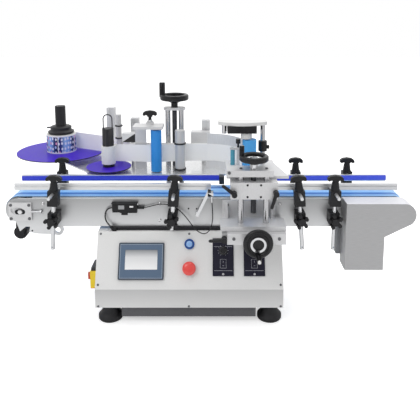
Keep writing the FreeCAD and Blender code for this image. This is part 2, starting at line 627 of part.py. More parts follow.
def make_conveyor():
    """The conveyor: two side plates, the slider bed, the belt, its rollers and the tail bearings."""
    front = make_side_plate(FRAME_FRONT)
    rear = make_side_plate(FRAME_BACK - SIDE_PLATE)
    inside = (FRAME_FRONT + SIDE_PLATE, FRAME_BACK - SIDE_PLATE)
    bed_xs = (TAIL_X + ROLLER_RADIUS + 6, DRIVE_X - ROLLER_RADIUS - 6)
    bed_top = BELT_TOP - BELT_THICKNESS - GAP
    bed = box(bed_xs, inside, (bed_top - SHEET, bed_top))
    for ys in ((inside[0], inside[0] + SHEET), (inside[1] - SHEET, inside[1])):
        bed = bed.fuse(box(bed_xs, ys, (bed_top - 24, bed_top)))
    ties = []
    for x in TIE_XS:
        ties.append(rod(TIE_RADIUS, (x, inside[0], ROLLER_Z - 12), (x, inside[1], ROLLER_Z - 12)))
    screws = []
    for x, z in FRAME_SCREWS:
        screws.append(turned([(0, 0), (5, 0), (4.4, 1.8), (2.5, 2.8), (0, 3)], (x, z, 0)))
        screws[-1].Placement = FreeCAD.Placement(Vector(0, FRAME_FRONT, 0), Rotation(Vector(1, 0, 0), 90))
    save("conveyor_frame", front, rear, bed, *(ties + screws))
    outer = roundtrip(ROLLER_RADIUS + BELT_THICKNESS, BELT_YS[0], BELT_WIDTH)
    inner = roundtrip(ROLLER_RADIUS, BELT_YS[0], BELT_WIDTH)
    save("conveyor_belt", outer.cut(inner))
    for node, x in (("tail_roller", TAIL_X), ("drive_roller", DRIVE_X)):
        front_end = (x, BELT_YS[0] - 1, ROLLER_Z)
        rear_end = (x, BELT_YS[1] + 1, ROLLER_Z)
        barrel = rod(ROLLER_RADIUS - ROLLER_FIT, front_end, rear_end)
        barrel = barrel.cut(rod(ROLLER_RADIUS - 4, front_end, (x, BELT_YS[0] + 20, ROLLER_Z)))
        barrel = barrel.cut(rod(ROLLER_RADIUS - 4, (x, BELT_YS[1] - 20, ROLLER_Z), rear_end))
        reach = BLOCK_THICKNESS - 1 if node == "tail_roller" else 0
        ends = (FRAME_FRONT - reach, FRAME_BACK + reach)
        if node == "drive_roller":
            ends = (FRAME_FRONT - PULLEY_OFFSET - PULLEY_WIDTH, FRAME_BACK)
            inner_face = (x, ends[0] + PULLEY_WIDTH, ROLLER_Z)
            barrel = barrel.fuse(rod(PULLEY_RADIUS, (x, ends[0], ROLLER_Z), inner_face))
        save(node, barrel.fuse(rod(ROLLER_JOURNAL, (x, ends[0], ROLLER_Z), (x, ends[1], ROLLER_Z))))
    axle = rod(SNUB_AXLE, (SNUB_X, FRAME_FRONT, SNUB_Z), (SNUB_X, FRAME_BACK, SNUB_Z))
    snub_ys = (inside[0] + 2, inside[1] - 2)
    snub = rod(SNUB_RADIUS, (SNUB_X, snub_ys[0], SNUB_Z), (SNUB_X, snub_ys[1], SNUB_Z))
    save("return_roller", axle.fuse(snub))
    pieces = []
    for face, sign in ((FRAME_FRONT, -1), (FRAME_BACK, 1)):
        ys = sorted((face, face + sign * BLOCK_THICKNESS))
        xs = (TAIL_X - BLOCK_LENGTH / 2 + 9, TAIL_X + BLOCK_LENGTH / 2 + 9)
        zs = (ROLLER_Z - BLOCK_HEIGHT / 2 - 4, ROLLER_Z + BLOCK_HEIGHT / 2 - 4)
        block = box(xs, ys, zs)
        bore = rod(ROLLER_JOURNAL + RUNNING, (TAIL_X, ys[0] - 1, ROLLER_Z), (TAIL_X, ys[1] + 1, ROLLER_Z))
        block = block.cut(bore)
        slot_ys = sorted((face + sign * 4, face + sign * (BLOCK_THICKNESS + 1)))
        slot = box((TAIL_X - 10, TAIL_X + 10), slot_ys, (ROLLER_Z - 7.9, ROLLER_Z + 7.9))
        for x in (TAIL_X - 10, TAIL_X + 10):
            slot = slot.fuse(rod(7.9, (x, slot_ys[0], ROLLER_Z), (x, slot_ys[1], ROLLER_Z)))
        block = block.cut(slot)
        bolt_z = ROLLER_Z - 4
        bolt_y = face + sign * (BLOCK_THICKNESS - 2)
        bolt = rod(3.0, (xs[1], bolt_y, bolt_z), (xs[1] + 24, bolt_y, bolt_z))
        bolt = bolt.fuse(rod(5.5, (xs[1] + 24, bolt_y, bolt_z), (xs[1] + 30, bolt_y, bolt_z)))
        pieces += [block, bolt]
    save("tail_bearing_blocks", *pieces)


def cover_outline(inset, y):
    """The side outline of the drive cover, set in by an inset."""
    left = COVER_LEFT + inset
    right = COVER_STEP_X - inset
    low = COVER_BOTTOM + inset
    top = COVER_NOSE_Z + COVER_NOSE_RADIUS - inset - 1
    radius = COVER_NOSE_RADIUS - inset
    slope = math.radians(-50.0)
    tangent = (COVER_NOSE_X + radius * math.cos(slope), y, COVER_NOSE_Z + radius * math.sin(slope))
    start = (COVER_NOSE_X, y, COVER_NOSE_Z + radius)
    edges = [line_edge((left, y, low), (left, y, top + 1)), line_edge((left, y, top + 1), start)]
    edges.append(arc_edge(start, (COVER_NOSE_X + radius, y, COVER_NOSE_Z), tangent))
    step = (right, y, COVER_STEP_Z + inset * 0.5)
    foot = (right, y, low)
    edges += [line_edge(tangent, step), line_edge(step, foot), line_edge(foot, (left, y, low))]
    return Part.Face(Part.Wire(edges))


def make_drive():
    """The belt drive: gear motor, pulleys and toothed belt inside a folded cover."""
    y = FRAME_FRONT - COVER_DEPTH
    shell = cover_outline(0, y).extrude(Vector(0, COVER_DEPTH - GAP, 0))
    room = cover_outline(SHEET, y + SHEET).extrude(Vector(0, COVER_DEPTH, 0))
    save("drive_cover", shell.cut(room))
    belt_y = (FRAME_FRONT - PULLEY_OFFSET - PULLEY_WIDTH, FRAME_FRONT - PULLEY_OFFSET)
    shaft = rod(6.0, (MOTOR_X, belt_y[0], MOTOR_Z), (MOTOR_X, FRAME_FRONT + 2, MOTOR_Z))
    pulley = rod(PULLEY_RADIUS, (MOTOR_X, belt_y[0], MOTOR_Z), (MOTOR_X, belt_y[1], MOTOR_Z))
    save("motor_pulley", shaft.fuse(pulley))
    across = Vector(DRIVE_X - MOTOR_X, 0, ROLLER_Z - MOTOR_Z)
    unit = across / across.Length
    side = Vector(-unit.z, 0, unit.x)
    loops = []
    for radius in (PULLEY_RADIUS + 0.3 + 2.5, PULLEY_RADIUS + 0.3):
        start = Vector(MOTOR_X, belt_y[0] + 1, MOTOR_Z)
        end = Vector(DRIVE_X, belt_y[0] + 1, ROLLER_Z)
        corners = [start + side * radius, end + side * radius, end - side * radius, start - side * radius]
        body = Part.Face(Part.makePolygon(corners + corners[:1])).extrude(Vector(0, PULLEY_WIDTH - 2, 0))
        for centre in (start, end):
            body = body.fuse(Part.makeCylinder(radius, PULLEY_WIDTH - 2, centre, Vector(0, 1, 0)))
        loops.append(body.removeSplitter())
    gearbox_ys = (FRAME_FRONT, FRAME_FRONT + 45)
    gearbox = box((MOTOR_X - 40, MOTOR_X + 40), gearbox_ys, (MOTOR_Z - 52, SIDE_PLATE_BOTTOM))
    bore = rod(6.0 + RUNNING, (MOTOR_X, FRAME_FRONT - 1, MOTOR_Z), (MOTOR_X, FRAME_FRONT + 6, MOTOR_Z))
    gearbox = gearbox.cut(bore)
    motor = rod(MOTOR_RADIUS, (MOTOR_X, FRAME_FRONT + 45, MOTOR_Z), (MOTOR_X, FRAME_FRONT + 140, MOTOR_Z))
    save("drive_gearmotor", gearbox.fuse(motor), loops[0].cut(loops[1]))


def tee_knob(x, y, low):
    """A moulded wing knob on its neck, wings along X, with a rounded back and drooping ends."""
    neck = turned([(0, 0), (STEM_RADIUS - 1, 0), (STEM_RADIUS - 3, 6), (0, 6)], (x, y, low))
    half = TEE_HALF
    rise = TEE_TOP - STEM_TOP
    wing = [(-half, 0.3), (-half + 1, 0.64), (-half + 8, 0.89), (0, 1.0), (half - 8, 0.89), (half - 1, 0.64)]
    wing += [(half, 0.3), (half - 4, 0.16), (11, 0.3), (7, 0.1), (-7, 0.1), (-11, 0.3), (-half + 4, 0.16)]
    depth = TEE_DEPTH / 2
    body = slab([(x + dx, y - depth, low + share * rise) for dx, share in wing], (0, TEE_DEPTH, 0))
    return neck.fuse(body)


def star_knob(x, face, sign, z):
    """A five-armed clamping knob on its stud, turned away from the side plate."""
    knob = rod(STAR_RADIUS * 0.48, (x, face + sign * GAP, z), (x, face + sign * 16, z))
    for angle in range(30, 390, 72):
        cx = x + STAR_RADIUS * 0.76 * math.cos(math.radians(angle))
        cz = z + STAR_RADIUS * 0.76 * math.sin(math.radians(angle))
        arm = rod(STAR_RADIUS * 0.2, (x, face + sign * 8, z), (cx, face + sign * 8, cz))
        knob = knob.fuse(arm)
        knob = knob.fuse(rod(STAR_RADIUS * 0.24, (cx, face + sign * 2.5, cz), (cx, face + sign * 13.5, cz)))
    return knob


def lean(shape, x, y, angle):
    """Tips a bracket's piece over sideways, about the clamp on the side plate."""
    shape.rotate(Vector(x, y, STAR_Z), Vector(0, 1, 0), angle)
    return shape


def rod_spot(x, angle):
    """Where a bracket carries its rail rod, across and up."""
    rise = RAIL_ROD_Z + 4 - STAR_Z
    return x + rise * math.sin(math.radians(angle)), STAR_Z + rise * math.cos(math.radians(angle))


def make_rail(node, start, length, y, side, bracket_xs, end_block):
    """One guide rail: a slotted extrusion with its wear strip and the rods that carry it."""
    ys = (y - RAIL_THICKNESS / 2, y + RAIL_THICKNESS / 2)
    zs = (RAIL_BOTTOM, RAIL_BOTTOM + RAIL_HEIGHT)
    rail = box((start, start + length), ys, zs)
    back = ys[0] if side < 0 else ys[1]
    face = ys[1] if side < 0 else ys[0]
    slot_y = sorted((back - side * 3.0, back + side))
    middle = RAIL_BOTTOM + RAIL_HEIGHT / 2
    rail = rail.cut(box((start - 1, start + length + 1), slot_y, (middle + 1.0, middle + 6.0)))
    strip_y = sorted((face, face - side * 2.5))
    rail = rail.fuse(box((start, start + length), strip_y, (zs[0] + 3.5, zs[1] - 3.5)))
    clamp_y = BRACKET_FRONT_Y if side < 0 else BRACKET_REAR_Y
    for x in bracket_xs:
        reach = ROD_REACH if side < 0 else REAR_ROD_REACH
        tip = clamp_y + side * (CLAMP_DEPTH + reach)
        rod_x, rod_z = rod_spot(x, LEAN.get(x, 0.0))
        rail = rail.fuse(rod(RAIL_ROD_RADIUS, (rod_x, back, rod_z), (rod_x, tip, rod_z)))
    if end_block:
        end = start + length
        rail = rail.fuse(box((end, end + 16), (ys[0] - 6, ys[1]), (RAIL_BOTTOM - 9, RAIL_BOTTOM + 15)))
    save(node, rail)


def make_brackets():
    """The rail brackets: a clamp on the side plate, an upright and a cross clamp with its knob."""
    places = [(x, FRAME_FRONT, BRACKET_FRONT_Y, -1) for x in FRONT_BRACKET_XS]
    places += [(x, FRAME_BACK, BRACKET_REAR_Y, 1) for x in REAR_BRACKET_XS]
    clamps = []
    rods = []
    stars = []
    tees = []
    for x, plate, y, side in places:
        body = box((x - 14, x + 14), sorted((plate, y + side * 10)), BRACKET_Z)
        bore = BRACKET_ROD_RADIUS + ROD_FIT
        body = body.cut(rod(bore, (x, y, BRACKET_Z[0] - 1), (x, y, BRACKET_Z[1] + 1)))
        cross_ys = (y - CLAMP_DEPTH, y + CLAMP_DEPTH)
        cross = box((x - CLAMP_HALF, x + CLAMP_HALF), cross_ys, (CLAMP_BOTTOM, CLAMP_TOP))
        cross = cross.cut(rod(bore, (x, y, CLAMP_BOTTOM - 1), (x, y, BRACKET_ROD_TOP)))
        hole_z = RAIL_ROD_Z + 4
        hole_ends = ((x, cross_ys[0] - 1, hole_z), (x, cross_ys[1] + 1, hole_z))
        cross = cross.cut(rod(RAIL_ROD_RADIUS + ROD_FIT, *hole_ends))
        stem_rise = STEM_TOP - GAP - CLAMP_TOP
        stem = turned([(0, 0), (STEM_FOOT, 0), (STEM_RADIUS, stem_rise), (0, stem_rise)], (x, y, CLAMP_TOP))
        cross = cross.fuse(stem)
        tilt = LEAN.get(x, 0.0)
        clamps += [lean(body, x, y, tilt), lean(cross, x, y, tilt)]
        low = SHORT_ROD_BOTTOM if x == SHORT_ROD_X else BRACKET_ROD_BOTTOM
        upright = rod(BRACKET_ROD_RADIUS, (x, y, low), (x, y, BRACKET_ROD_TOP))
        pin_z = low + 8
        rods.append(lean(upright.cut(rod(2.0, (x, y - 10, pin_z), (x, y + 10, pin_z))), x, y, tilt))
        stars.append(star_knob(x, y + side * 10, side, STAR_Z))
        tees.append(lean(tee_knob(x, y, STEM_TOP), x, y, tilt))
    save("bracket_clamps", *clamps)
    save("bracket_rods", *rods)
    save("bracket_knobs", *(stars + tees))


def make_rails():
    """The four guide rails above the belt."""
    front_left = FRONT_BRACKET_XS[:2]
    front_right = FRONT_BRACKET_XS[2:]
    rear_start = LEFT_RAIL_START + REAR_RAIL_SHIFT
    make_rail("front_left_rail", LEFT_RAIL_START, LEFT_RAIL_LENGTH, FRONT_RAIL_Y, -1, front_left, False)
    make_rail("front_right_rail", RIGHT_RAIL_START, RIGHT_RAIL_LENGTH, FRONT_RAIL_Y, -1, front_right, False)
    rear_length = LEFT_RAIL_LENGTH + REAR_LEFT_EXTRA
    make_rail("rear_left_rail", rear_start, rear_length, REAR_RAIL_Y, 1, REAR_BRACKET_XS[:1], True)
    right_start = RIGHT_RAIL_START + REAR_RAIL_SHIFT
    make_rail("rear_right_rail", right_start, RIGHT_RAIL_LENGTH, REAR_RAIL_Y, 1, REAR_BRACKET_XS[1:], False)


def make_risers():
    """The black frame that the conveyor stands on."""
    zs = (CABINET_TOP, SIDE_PLATE_BOTTOM)
    outer = box((RISER_LEFT, RISER_RIGHT), (FRAME_FRONT - 10, FRAME_BACK + 10), zs)
    room = box((RISER_LEFT + 25, RISER_RIGHT - 25), (FRAME_FRONT + 15, FRAME_BACK - 15), zs)
    end = Vector(*CABLE_ROUTE[-1])
    along = (end - Vector(*CABLE_ROUTE[-2])).normalize()
    gland = rod(GLAND_RADIUS, end - along * 3, end + along * 10)
    gland = gland.fuse(box((-238.0, -226.0), (-158.0, FRAME_FRONT - 10), zs))
    gland = gland.cut(rod(CABLE_RADIUS + RUNNING, end - along * 3, end + along * RUNNING))
    save("conveyor_riser", outer.cut(room).fuse(gland))


def crank_wheel(centre, radius, thickness, hub, grip_radius, grip_length):
    """A hand wheel on an upright axis: square rim, dished web, low hub and an upright grip."""
    half = thickness / 2
    inner = radius - WHEEL_RIM
    dish = half + WHEEL_DISH
    outline = [(0, -dish), (hub, -dish), (inner, -half), (radius - 3, -half), (radius, 3 - half)]
    outline += [(radius, half - 3), (radius - 3, half), (inner + 3, half), (inner, half - 3)]
    outline += [(inner, WHEEL_WEB - half), (hub + 1, WHEEL_WEB - dish), (hub, 0), (hub - 4, 2), (0, 2)]
    wheel = turned(outline, centre)
    grip_base = (centre[0] - radius + WHEEL_RIM / 2, centre[1], centre[2])
    grip = turned([(0, 0), (grip_radius, 0), (grip_radius, grip_length - 3), (grip_radius - 2, grip_length),
                   (0, grip_length)], grip_base)
    return wheel.fuse(grip)


def make_head_lift():
    """The two columns on the cabinet, their top plate and the lifting screw with its hand wheel."""
    x = SCREW_X
    y = COLUMN_Y
    flange = box((x - 50, x + 50), (y - 35, y + 35), (CABINET_TOP, CABINET_TOP + 12))
    flange = flange.cut(rod(HEAD_JOURNAL + RUNNING, (x, y, CABINET_TOP), (x, y, CABINET_TOP + 12)))
    plate = box((x - 20, x + 20), (y - 16, y + 16), (COLUMN_TOP, COLUMN_TOP + TOP_PLATE))
    for side in (-1, 1):
        spot = (x + side * 20, y)
        plate = plate.fuse(rod(16, (*spot, COLUMN_TOP), (*spot, COLUMN_TOP + TOP_PLATE)))
    plate = plate.cut(rod(HEAD_JOURNAL + RUNNING, (x, y, COLUMN_TOP), (x, y, COLUMN_TOP + TOP_PLATE)))
    frame = flange.fuse(plate)
    for cx in COLUMN_XS:
        frame = frame.fuse(rod(COLUMN_RADIUS, (cx, y, CABINET_TOP), (cx, y, COLUMN_TOP)))
    save("head_columns", frame)
    crank = rod(HEAD_SCREW_RADIUS, (x, y, CABINET_TOP + 12 + GAP), (x, y, COLUMN_TOP - GAP))
    crank = crank.fuse(rod(HEAD_JOURNAL, (x, y, CABINET_TOP + 2), (x, y, HEAD_WHEEL_Z)))
    crank = crank.fuse(rod(11, (x, y, COLUMN_TOP + TOP_PLATE + GAP), (x, y, HEAD_WHEEL_Z)))
    length = HEAD_GRIP_TOP - HEAD_WHEEL_Z
    centre = (x, y, HEAD_WHEEL_Z)
    wheel = crank_wheel(centre, HEAD_WHEEL_RADIUS, HEAD_WHEEL_WIDTH, 13, HEAD_GRIP_RADIUS, length)
    save("head_crank", crank.fuse(wheel))


def upright_shaft(spot, low, high, fit):
    """The shaft, or the hole for it, that an upright roller turns on."""
    return rod(SHAFT_RADIUS + fit, (*spot, low), (*spot, high))


def make_deck():
    """The deck plate of the label head with the block that rides on the columns."""
    outline = [(REEL_X - 25, REEL_Y - 25), *DECK_SHOULDER, (DECK_FRONT_CORNER, DECK_FRONT)]
    outline += [(DECK_RIGHT, DECK_FRONT), (DECK_RIGHT, DECK_REAR), (DECK_TAIL_XS[1] + 10, DECK_REAR)]
    outline += [(DECK_TAIL_XS[1], DECK_TAIL_REAR), (DECK_TAIL_XS[0], DECK_TAIL_REAR)]
    outline.append((REEL_X - 25, REEL_Y + 28))
    deck = slab([(x, y, DECK_BOTTOM) for x, y in outline], (0, 0, DECK))
    block_xs = (SCREW_X - HEAD_BLOCK_HALF, SCREW_X + HEAD_BLOCK_HALF)
    deck = deck.fuse(box(block_xs, (COLUMN_Y - 20, COLUMN_Y + 20), (LIFT_BLOCK_BOTTOM, DECK_BOTTOM)))
    low = LIFT_BLOCK_BOTTOM - 1
    for x in COLUMN_XS:
        deck = deck.cut(rod(COLUMN_RADIUS + RUNNING, (x, COLUMN_Y, low), (x, COLUMN_Y, DECK_TOP + 1)))
    bore = rod(HEAD_SCREW_RADIUS + RUNNING, (SCREW_X, COLUMN_Y, low), (SCREW_X, COLUMN_Y, DECK_TOP + 1))
    deck = deck.cut(bore)
    for spot in ((REEL_X, REEL_Y), (REWIND_X, REWIND_Y), REAR_GUIDE, FRONT_GUIDE, TRACTION, PINCH):
        deck = deck.cut(upright_shaft(spot, DECK_BOTTOM - 1, DECK_TOP + 1, RUNNING))
    save("label_deck", deck)


def make_reel():
    """The supply reel: its turning disc, the spindle with its core clamp, and the roll of labels."""
    base = (REEL_X, REEL_Y, REEL_BOTTOM)
    disc = rod(REEL_RADIUS, base, (REEL_X, REEL_Y, REEL_BOTTOM + REEL_DISC))
    disc = disc.fuse(rod(26, (REEL_X, REEL_Y, DECK_TOP + GAP), base))
    disc = disc.fuse(rod(SHAFT_RADIUS, (REEL_X, REEL_Y, DECK_BOTTOM - 10), base))
    top = REEL_BOTTOM + REEL_DISC
    height = REEL_SPINDLE_TOP - top
    low = ROLL_HEIGHT + 2.0
    outline = [(0, 0), (REEL_SPINDLE_RADIUS, 0), (REEL_SPINDLE_RADIUS, low), (CLAMP_FLANGE, low)]
    outline += [(CLAMP_FLANGE + 3, low + 2), (CLAMP_FLANGE + 3, low + 7), (CLAMP_FLANGE - 4, low + 10)]
    outline += [(CLAMP_FLANGE - 6, low + 13), (CLAMP_FLANGE - 5, low + 22), (CLAMP_FLANGE - 10, low + 25)]
    outline += [(REEL_SPINDLE_RADIUS, low + 26), (REEL_SPINDLE_RADIUS, height - 2)]
    outline += [(REEL_SPINDLE_RADIUS - 1, height), (0, height)]
    spindle = turned(outline, (REEL_X, REEL_Y, top))
    lever_z = top + low + 18
    lever_x = REEL_X - CLAMP_FLANGE
    lever = rod(2.5, (lever_x + 6, REEL_Y, lever_z), (lever_x - 8, REEL_Y, lever_z))
    save("label_reel", disc, spindle.fuse(lever))
    core = REEL_SPINDLE_RADIUS + GAP
    save("label_roll", ring(ROLL_RADIUS, core, (REEL_X, REEL_Y, top), (REEL_X, REEL_Y, top + ROLL_HEIGHT)))


def make_rewinder():
    """The rewinder for the empty backing web: disc, spindle and the wire bail that grips the web."""
    x = REWIND_X
    y = REWIND_Y
    low = DECK_TOP + GAP
    disc_z = REWIND_DISC_Z
    disc = ring(REWIND_DISC_RADIUS, REWIND_RADIUS, (x, y, disc_z), (x, y, disc_z + REEL_DISC))
    spool = rod(20, (x, y, low), (x, y, disc_z))
    spool = spool.fuse(rod(SHAFT_RADIUS, (x, y, DECK_BOTTOM - 10), (x, y, low)))
    spool = spool.fuse(rod(REWIND_RADIUS, (x, y, disc_z), (x, y, REWIND_TOP)))
    for side in (-1, 1):
        leg = (x + side * BAIL_HALF, y)
        spool = spool.cut(rod(BAIL_WIRE, (*leg, REWIND_TOP - 25), (*leg, REWIND_TOP + 1)))
    crown = BAIL_TOP - BAIL_HALF
    path = [line_edge((x - BAIL_HALF, y, REWIND_TOP - 25), (x - BAIL_HALF, y, crown))]
    path.append(arc_edge((x - BAIL_HALF, y, crown), (x, y, BAIL_TOP), (x + BAIL_HALF, y, crown)))
    path.append(line_edge((x + BAIL_HALF, y, crown), (x + BAIL_HALF, y, REWIND_TOP - 25)))
    wire_end = Part.Circle(Vector(x - BAIL_HALF, y, REWIND_TOP - 25), Vector(0, 0, 1), BAIL_WIRE)
    section = Part.Wire(wire_end.toShape())
    bail = Part.Wire(path).makePipeShell([section], True, True)
    liner_low = WEB_LOW - 1
    wound = ring(LINER_RADIUS, REWIND_RADIUS, (x, y, liner_low), (x, y, WEB_LOW + WEB_HEIGHT + 1))
    save("rewind_spool", spool, disc, bail, wound)


def make_web_rollers():
    """The upright rollers that lead the label web across the deck."""
    x, y = REAR_GUIDE
    guide = rod(REAR_GUIDE_RADIUS, (x, y, ROLLER_LOW), (x, y, REAR_GUIDE_TOP))
    for z in (WEB_LOW - 5, WEB_LOW + WEB_HEIGHT + 1, REAR_GUIDE_TOP - 40):
        guide = guide.fuse(rod(REAR_GUIDE_RADIUS + 4, (x, y, z), (x, y, z + 4)))
    save("rear_guide_roller", guide.fuse(upright_shaft(REAR_GUIDE, DECK_BOTTOM - 6, ROLLER_LOW, 0)))
    x, y = FRONT_GUIDE
    guide = rod(FRONT_GUIDE_RADIUS, (x, y, ROLLER_LOW), (x, y, FRONT_GUIDE_TOP))
    for z in (ROLLER_LOW, WEB_LOW + WEB_HEIGHT + 5):
        guide = guide.fuse(rod(FRONT_GUIDE_RADIUS + 3, (x, y, z), (x, y, z + 5)))
    save("front_guide_roller", guide.fuse(upright_shaft(FRONT_GUIDE, DECK_BOTTOM - 6, ROLLER_LOW, 0)))
    x, y = TRACTION
    roller = rod(TRACTION_RADIUS, (x, y, ROLLER_LOW), (x, y, TRACTION_TOP))
    roller = roller.fuse(upright_shaft(TRACTION, DECK_BOTTOM - 6, HOUSING_TOP - 6, 0))
    save("traction_roller", roller)
    x, y = PINCH
    pinch = rod(PINCH_RADIUS, (x, y, ROLLER_LOW), (x, y, TRACTION_TOP - 4))
    save("pinch_roller", pinch.fuse(upright_shaft(PINCH, DECK_BOTTOM - 6, TRACTION_TOP + 6, 0)))


def make_traction_housing():
    """The folded stand over the traction roller, with the pressure screw and its knob."""
    xs = (-196.0, -102.0)
    ys = (-2.0, 56.0)
    low = HOUSING_TOP - 9.0
    top = box(xs, ys, (low, HOUSING_TOP))
    wall = box((xs[0], xs[0] + 36), (ys[1] - 4, ys[1]), (DECK_TOP, low))
    housing = top.fuse(wall)
    housing = housing.cut(upright_shaft(TRACTION, low - 1, HOUSING_TOP - 5, RUNNING))
    housing = housing.cut(upright_shaft(PINCH, low - 1, HOUSING_TOP - 5, RUNNING))
    screw = (-146.0, 43.0)
    housing = housing.fuse(ring(12, 5 + RUNNING, (*screw, HOUSING_TOP), (*screw, HOUSING_TOP + 8)))
    housing = housing.cut(rod(5 + RUNNING, (*screw, low - 1), (*screw, HOUSING_TOP + 9)))
    save("traction_housing", housing)
    knob_low = HOUSING_TOP + 24.0
    knob = rod(5, (*screw, low), (*screw, knob_low))
    knob = knob.fuse(tee_knob(*screw, knob_low))
    save("pressure_knob", knob.fuse(rod(8, (*screw, HOUSING_TOP + 8 + GAP), (*screw, HOUSING_TOP + 14))))


def strip(points, low, height, thickness):
    """A thin upright band that follows a line of points in plan."""
    band = None
    for a, b in zip(points, points[1:]):
        run = Vector(b[0] - a[0], b[1] - a[1], 0)
        side = Vector(-run.y, run.x, 0) / run.Length * (thickness / 2)
        start = Vector(a[0], a[1], low)
        corners = [start + side, start + run + side, start + run - side, start - side]
        piece = Part.Face(Part.makePolygon(corners + corners[:1])).extrude(Vector(0, 0, height))
        band = piece if band is None else band.fuse(piece)
    return band


def peel_arc():
    """Centre of the peel plate's curve, which bulges towards the rear, and its end angles."""
    a = Vector(*PEEL_START, 0)
    b = Vector(*PEEL_TIP, 0)
    chord = b - a
    drop = math.sqrt(PEEL_RADIUS ** 2 - (chord.Length / 2) ** 2)
    side = Vector(chord.y, -chord.x, 0) / chord.Length
    centre = (a + b) / 2 + side * drop
    return centre, math.atan2(a.y - centre.y, a.x - centre.x), math.atan2(b.y - centre.y, b.x - centre.x)


def make_peel_plate():
    """The curved stainless plate that the labels peel off at its tip."""
    centre, first, last = peel_arc()
    rings = []
    for radius in (PEEL_RADIUS, PEEL_RADIUS + PEEL_SHEET):
        rings.append([(centre.x + radius * math.cos(a), centre.y + radius * math.sin(a), DECK_TOP)
                      for a in (first, (first + last) / 2, last)])
    inner, outer = rings
    edges = [arc_edge(*inner), line_edge(inner[2], outer[2])]
    edges += [arc_edge(*outer), line_edge(outer[0], inner[0])]
    plate = Part.Face(Part.Wire(edges)).extrude(Vector(0, 0, PEEL_HEIGHT))
    x, y = PEEL_START
    foot = box((x - 4, x + 16), (y + 1, y + 12), (DECK_TOP, DECK_TOP + PEEL_FOOT))
    save("peel_plate", plate.fuse(foot))


def around(centre, radius, first, last):
    """Points of a band led round a roller, from one angle to the other in degrees."""
    steps = max(2, round(abs(last - first) / 20))
    reach = (radius + GAP + WEB) / math.cos(math.radians(abs(last - first) / steps / 2))
    points = []
    for step in range(steps + 1):
        angle = math.radians(first + (last - first) * step / steps)
        points.append((centre[0] + reach * math.cos(angle), centre[1] + reach * math.sin(angle)))
    return points


def along_peel(offset):
    """Points of a band that lies on the peel plate, at an offset from its inner face."""
    centre, first, last = peel_arc()
    reach = PEEL_RADIUS + offset
    points = []
    for step in range(7):
        angle = first + (last - first) * step / 6
        points.append((centre.x + reach * math.cos(angle), centre.y + reach * math.sin(angle)))
    return points


def make_web():
    """The label web from the reel to the tip of the peel plate, and the backing web to the rewinder."""
    supply = [(REEL_X + 16.0, REEL_Y + ROLL_RADIUS - 1.6)]
    supply += around(REAR_GUIDE, REAR_GUIDE_RADIUS, 75, 10)
    supply.append((SENSOR_X, SENSOR_Y))
    supply += along_peel(PEEL_SHEET + GAP + WEB)
    backing = along_peel(-GAP - WEB)[::-1]
    backing += around(FRONT_GUIDE, FRONT_GUIDE_RADIUS, 93, 100)
    backing.append((TRACTION[0], TRACTION[1] + TRACTION_RADIUS + GAP + WEB / 2))
    backing.append((REWIND_X + 2.0, REWIND_Y + LINER_RADIUS + GAP + WEB))
    save("label_web", strip(supply, WEB_LOW, WEB_HEIGHT, WEB), strip(backing, WEB_LOW, WEB_HEIGHT, WEB))


def make_deck_fittings():
    """The profile posts, the peel-side gear box and the fork sensor that finds the label gaps."""
    pieces = []
    for x, y, top in POSTS:
        half = POST_SIDE / 2
        post = box((x - half, x + half), (y - half, y + half), (DECK_TOP, top))
        for dx, dy in ((0, -1), (0, 1), (-1, 0), (1, 0)):
            cx = x + dx * half
            cy = y + dy * half
            post = post.cut(box((cx - 3, cx + 3), (cy - 3, cy + 3), (DECK_TOP, top)))
        pieces.append(post)
    low = DECK_TOP + PEEL_BOX_LIFT
    ys = (PEEL_BOX_YS[0], PEEL_BOX_YS[1] - GAP)
    pieces.append(box(PEEL_BOX_XS, ys, (low, low + PEEL_BOX_HEIGHT)))
    pieces.append(box(PEEL_BOX_FOOT_XS, (ys[0], ys[0] + PEEL_BOX_FOOT_DEPTH), (DECK_TOP, low)))
    save("support_posts", *pieces)
    foot = rod(7, (SENSOR_X + 8, SENSOR_Y + 12, DECK_TOP), (SENSOR_X + 8, SENSOR_Y + 12, SENSOR_Z[0]))
    body = box((SENSOR_X - 26, SENSOR_X + 17), (SENSOR_Y - 4, SENSOR_Y + 22), SENSOR_Z)
    save("label_sensor", body.fuse(foot))


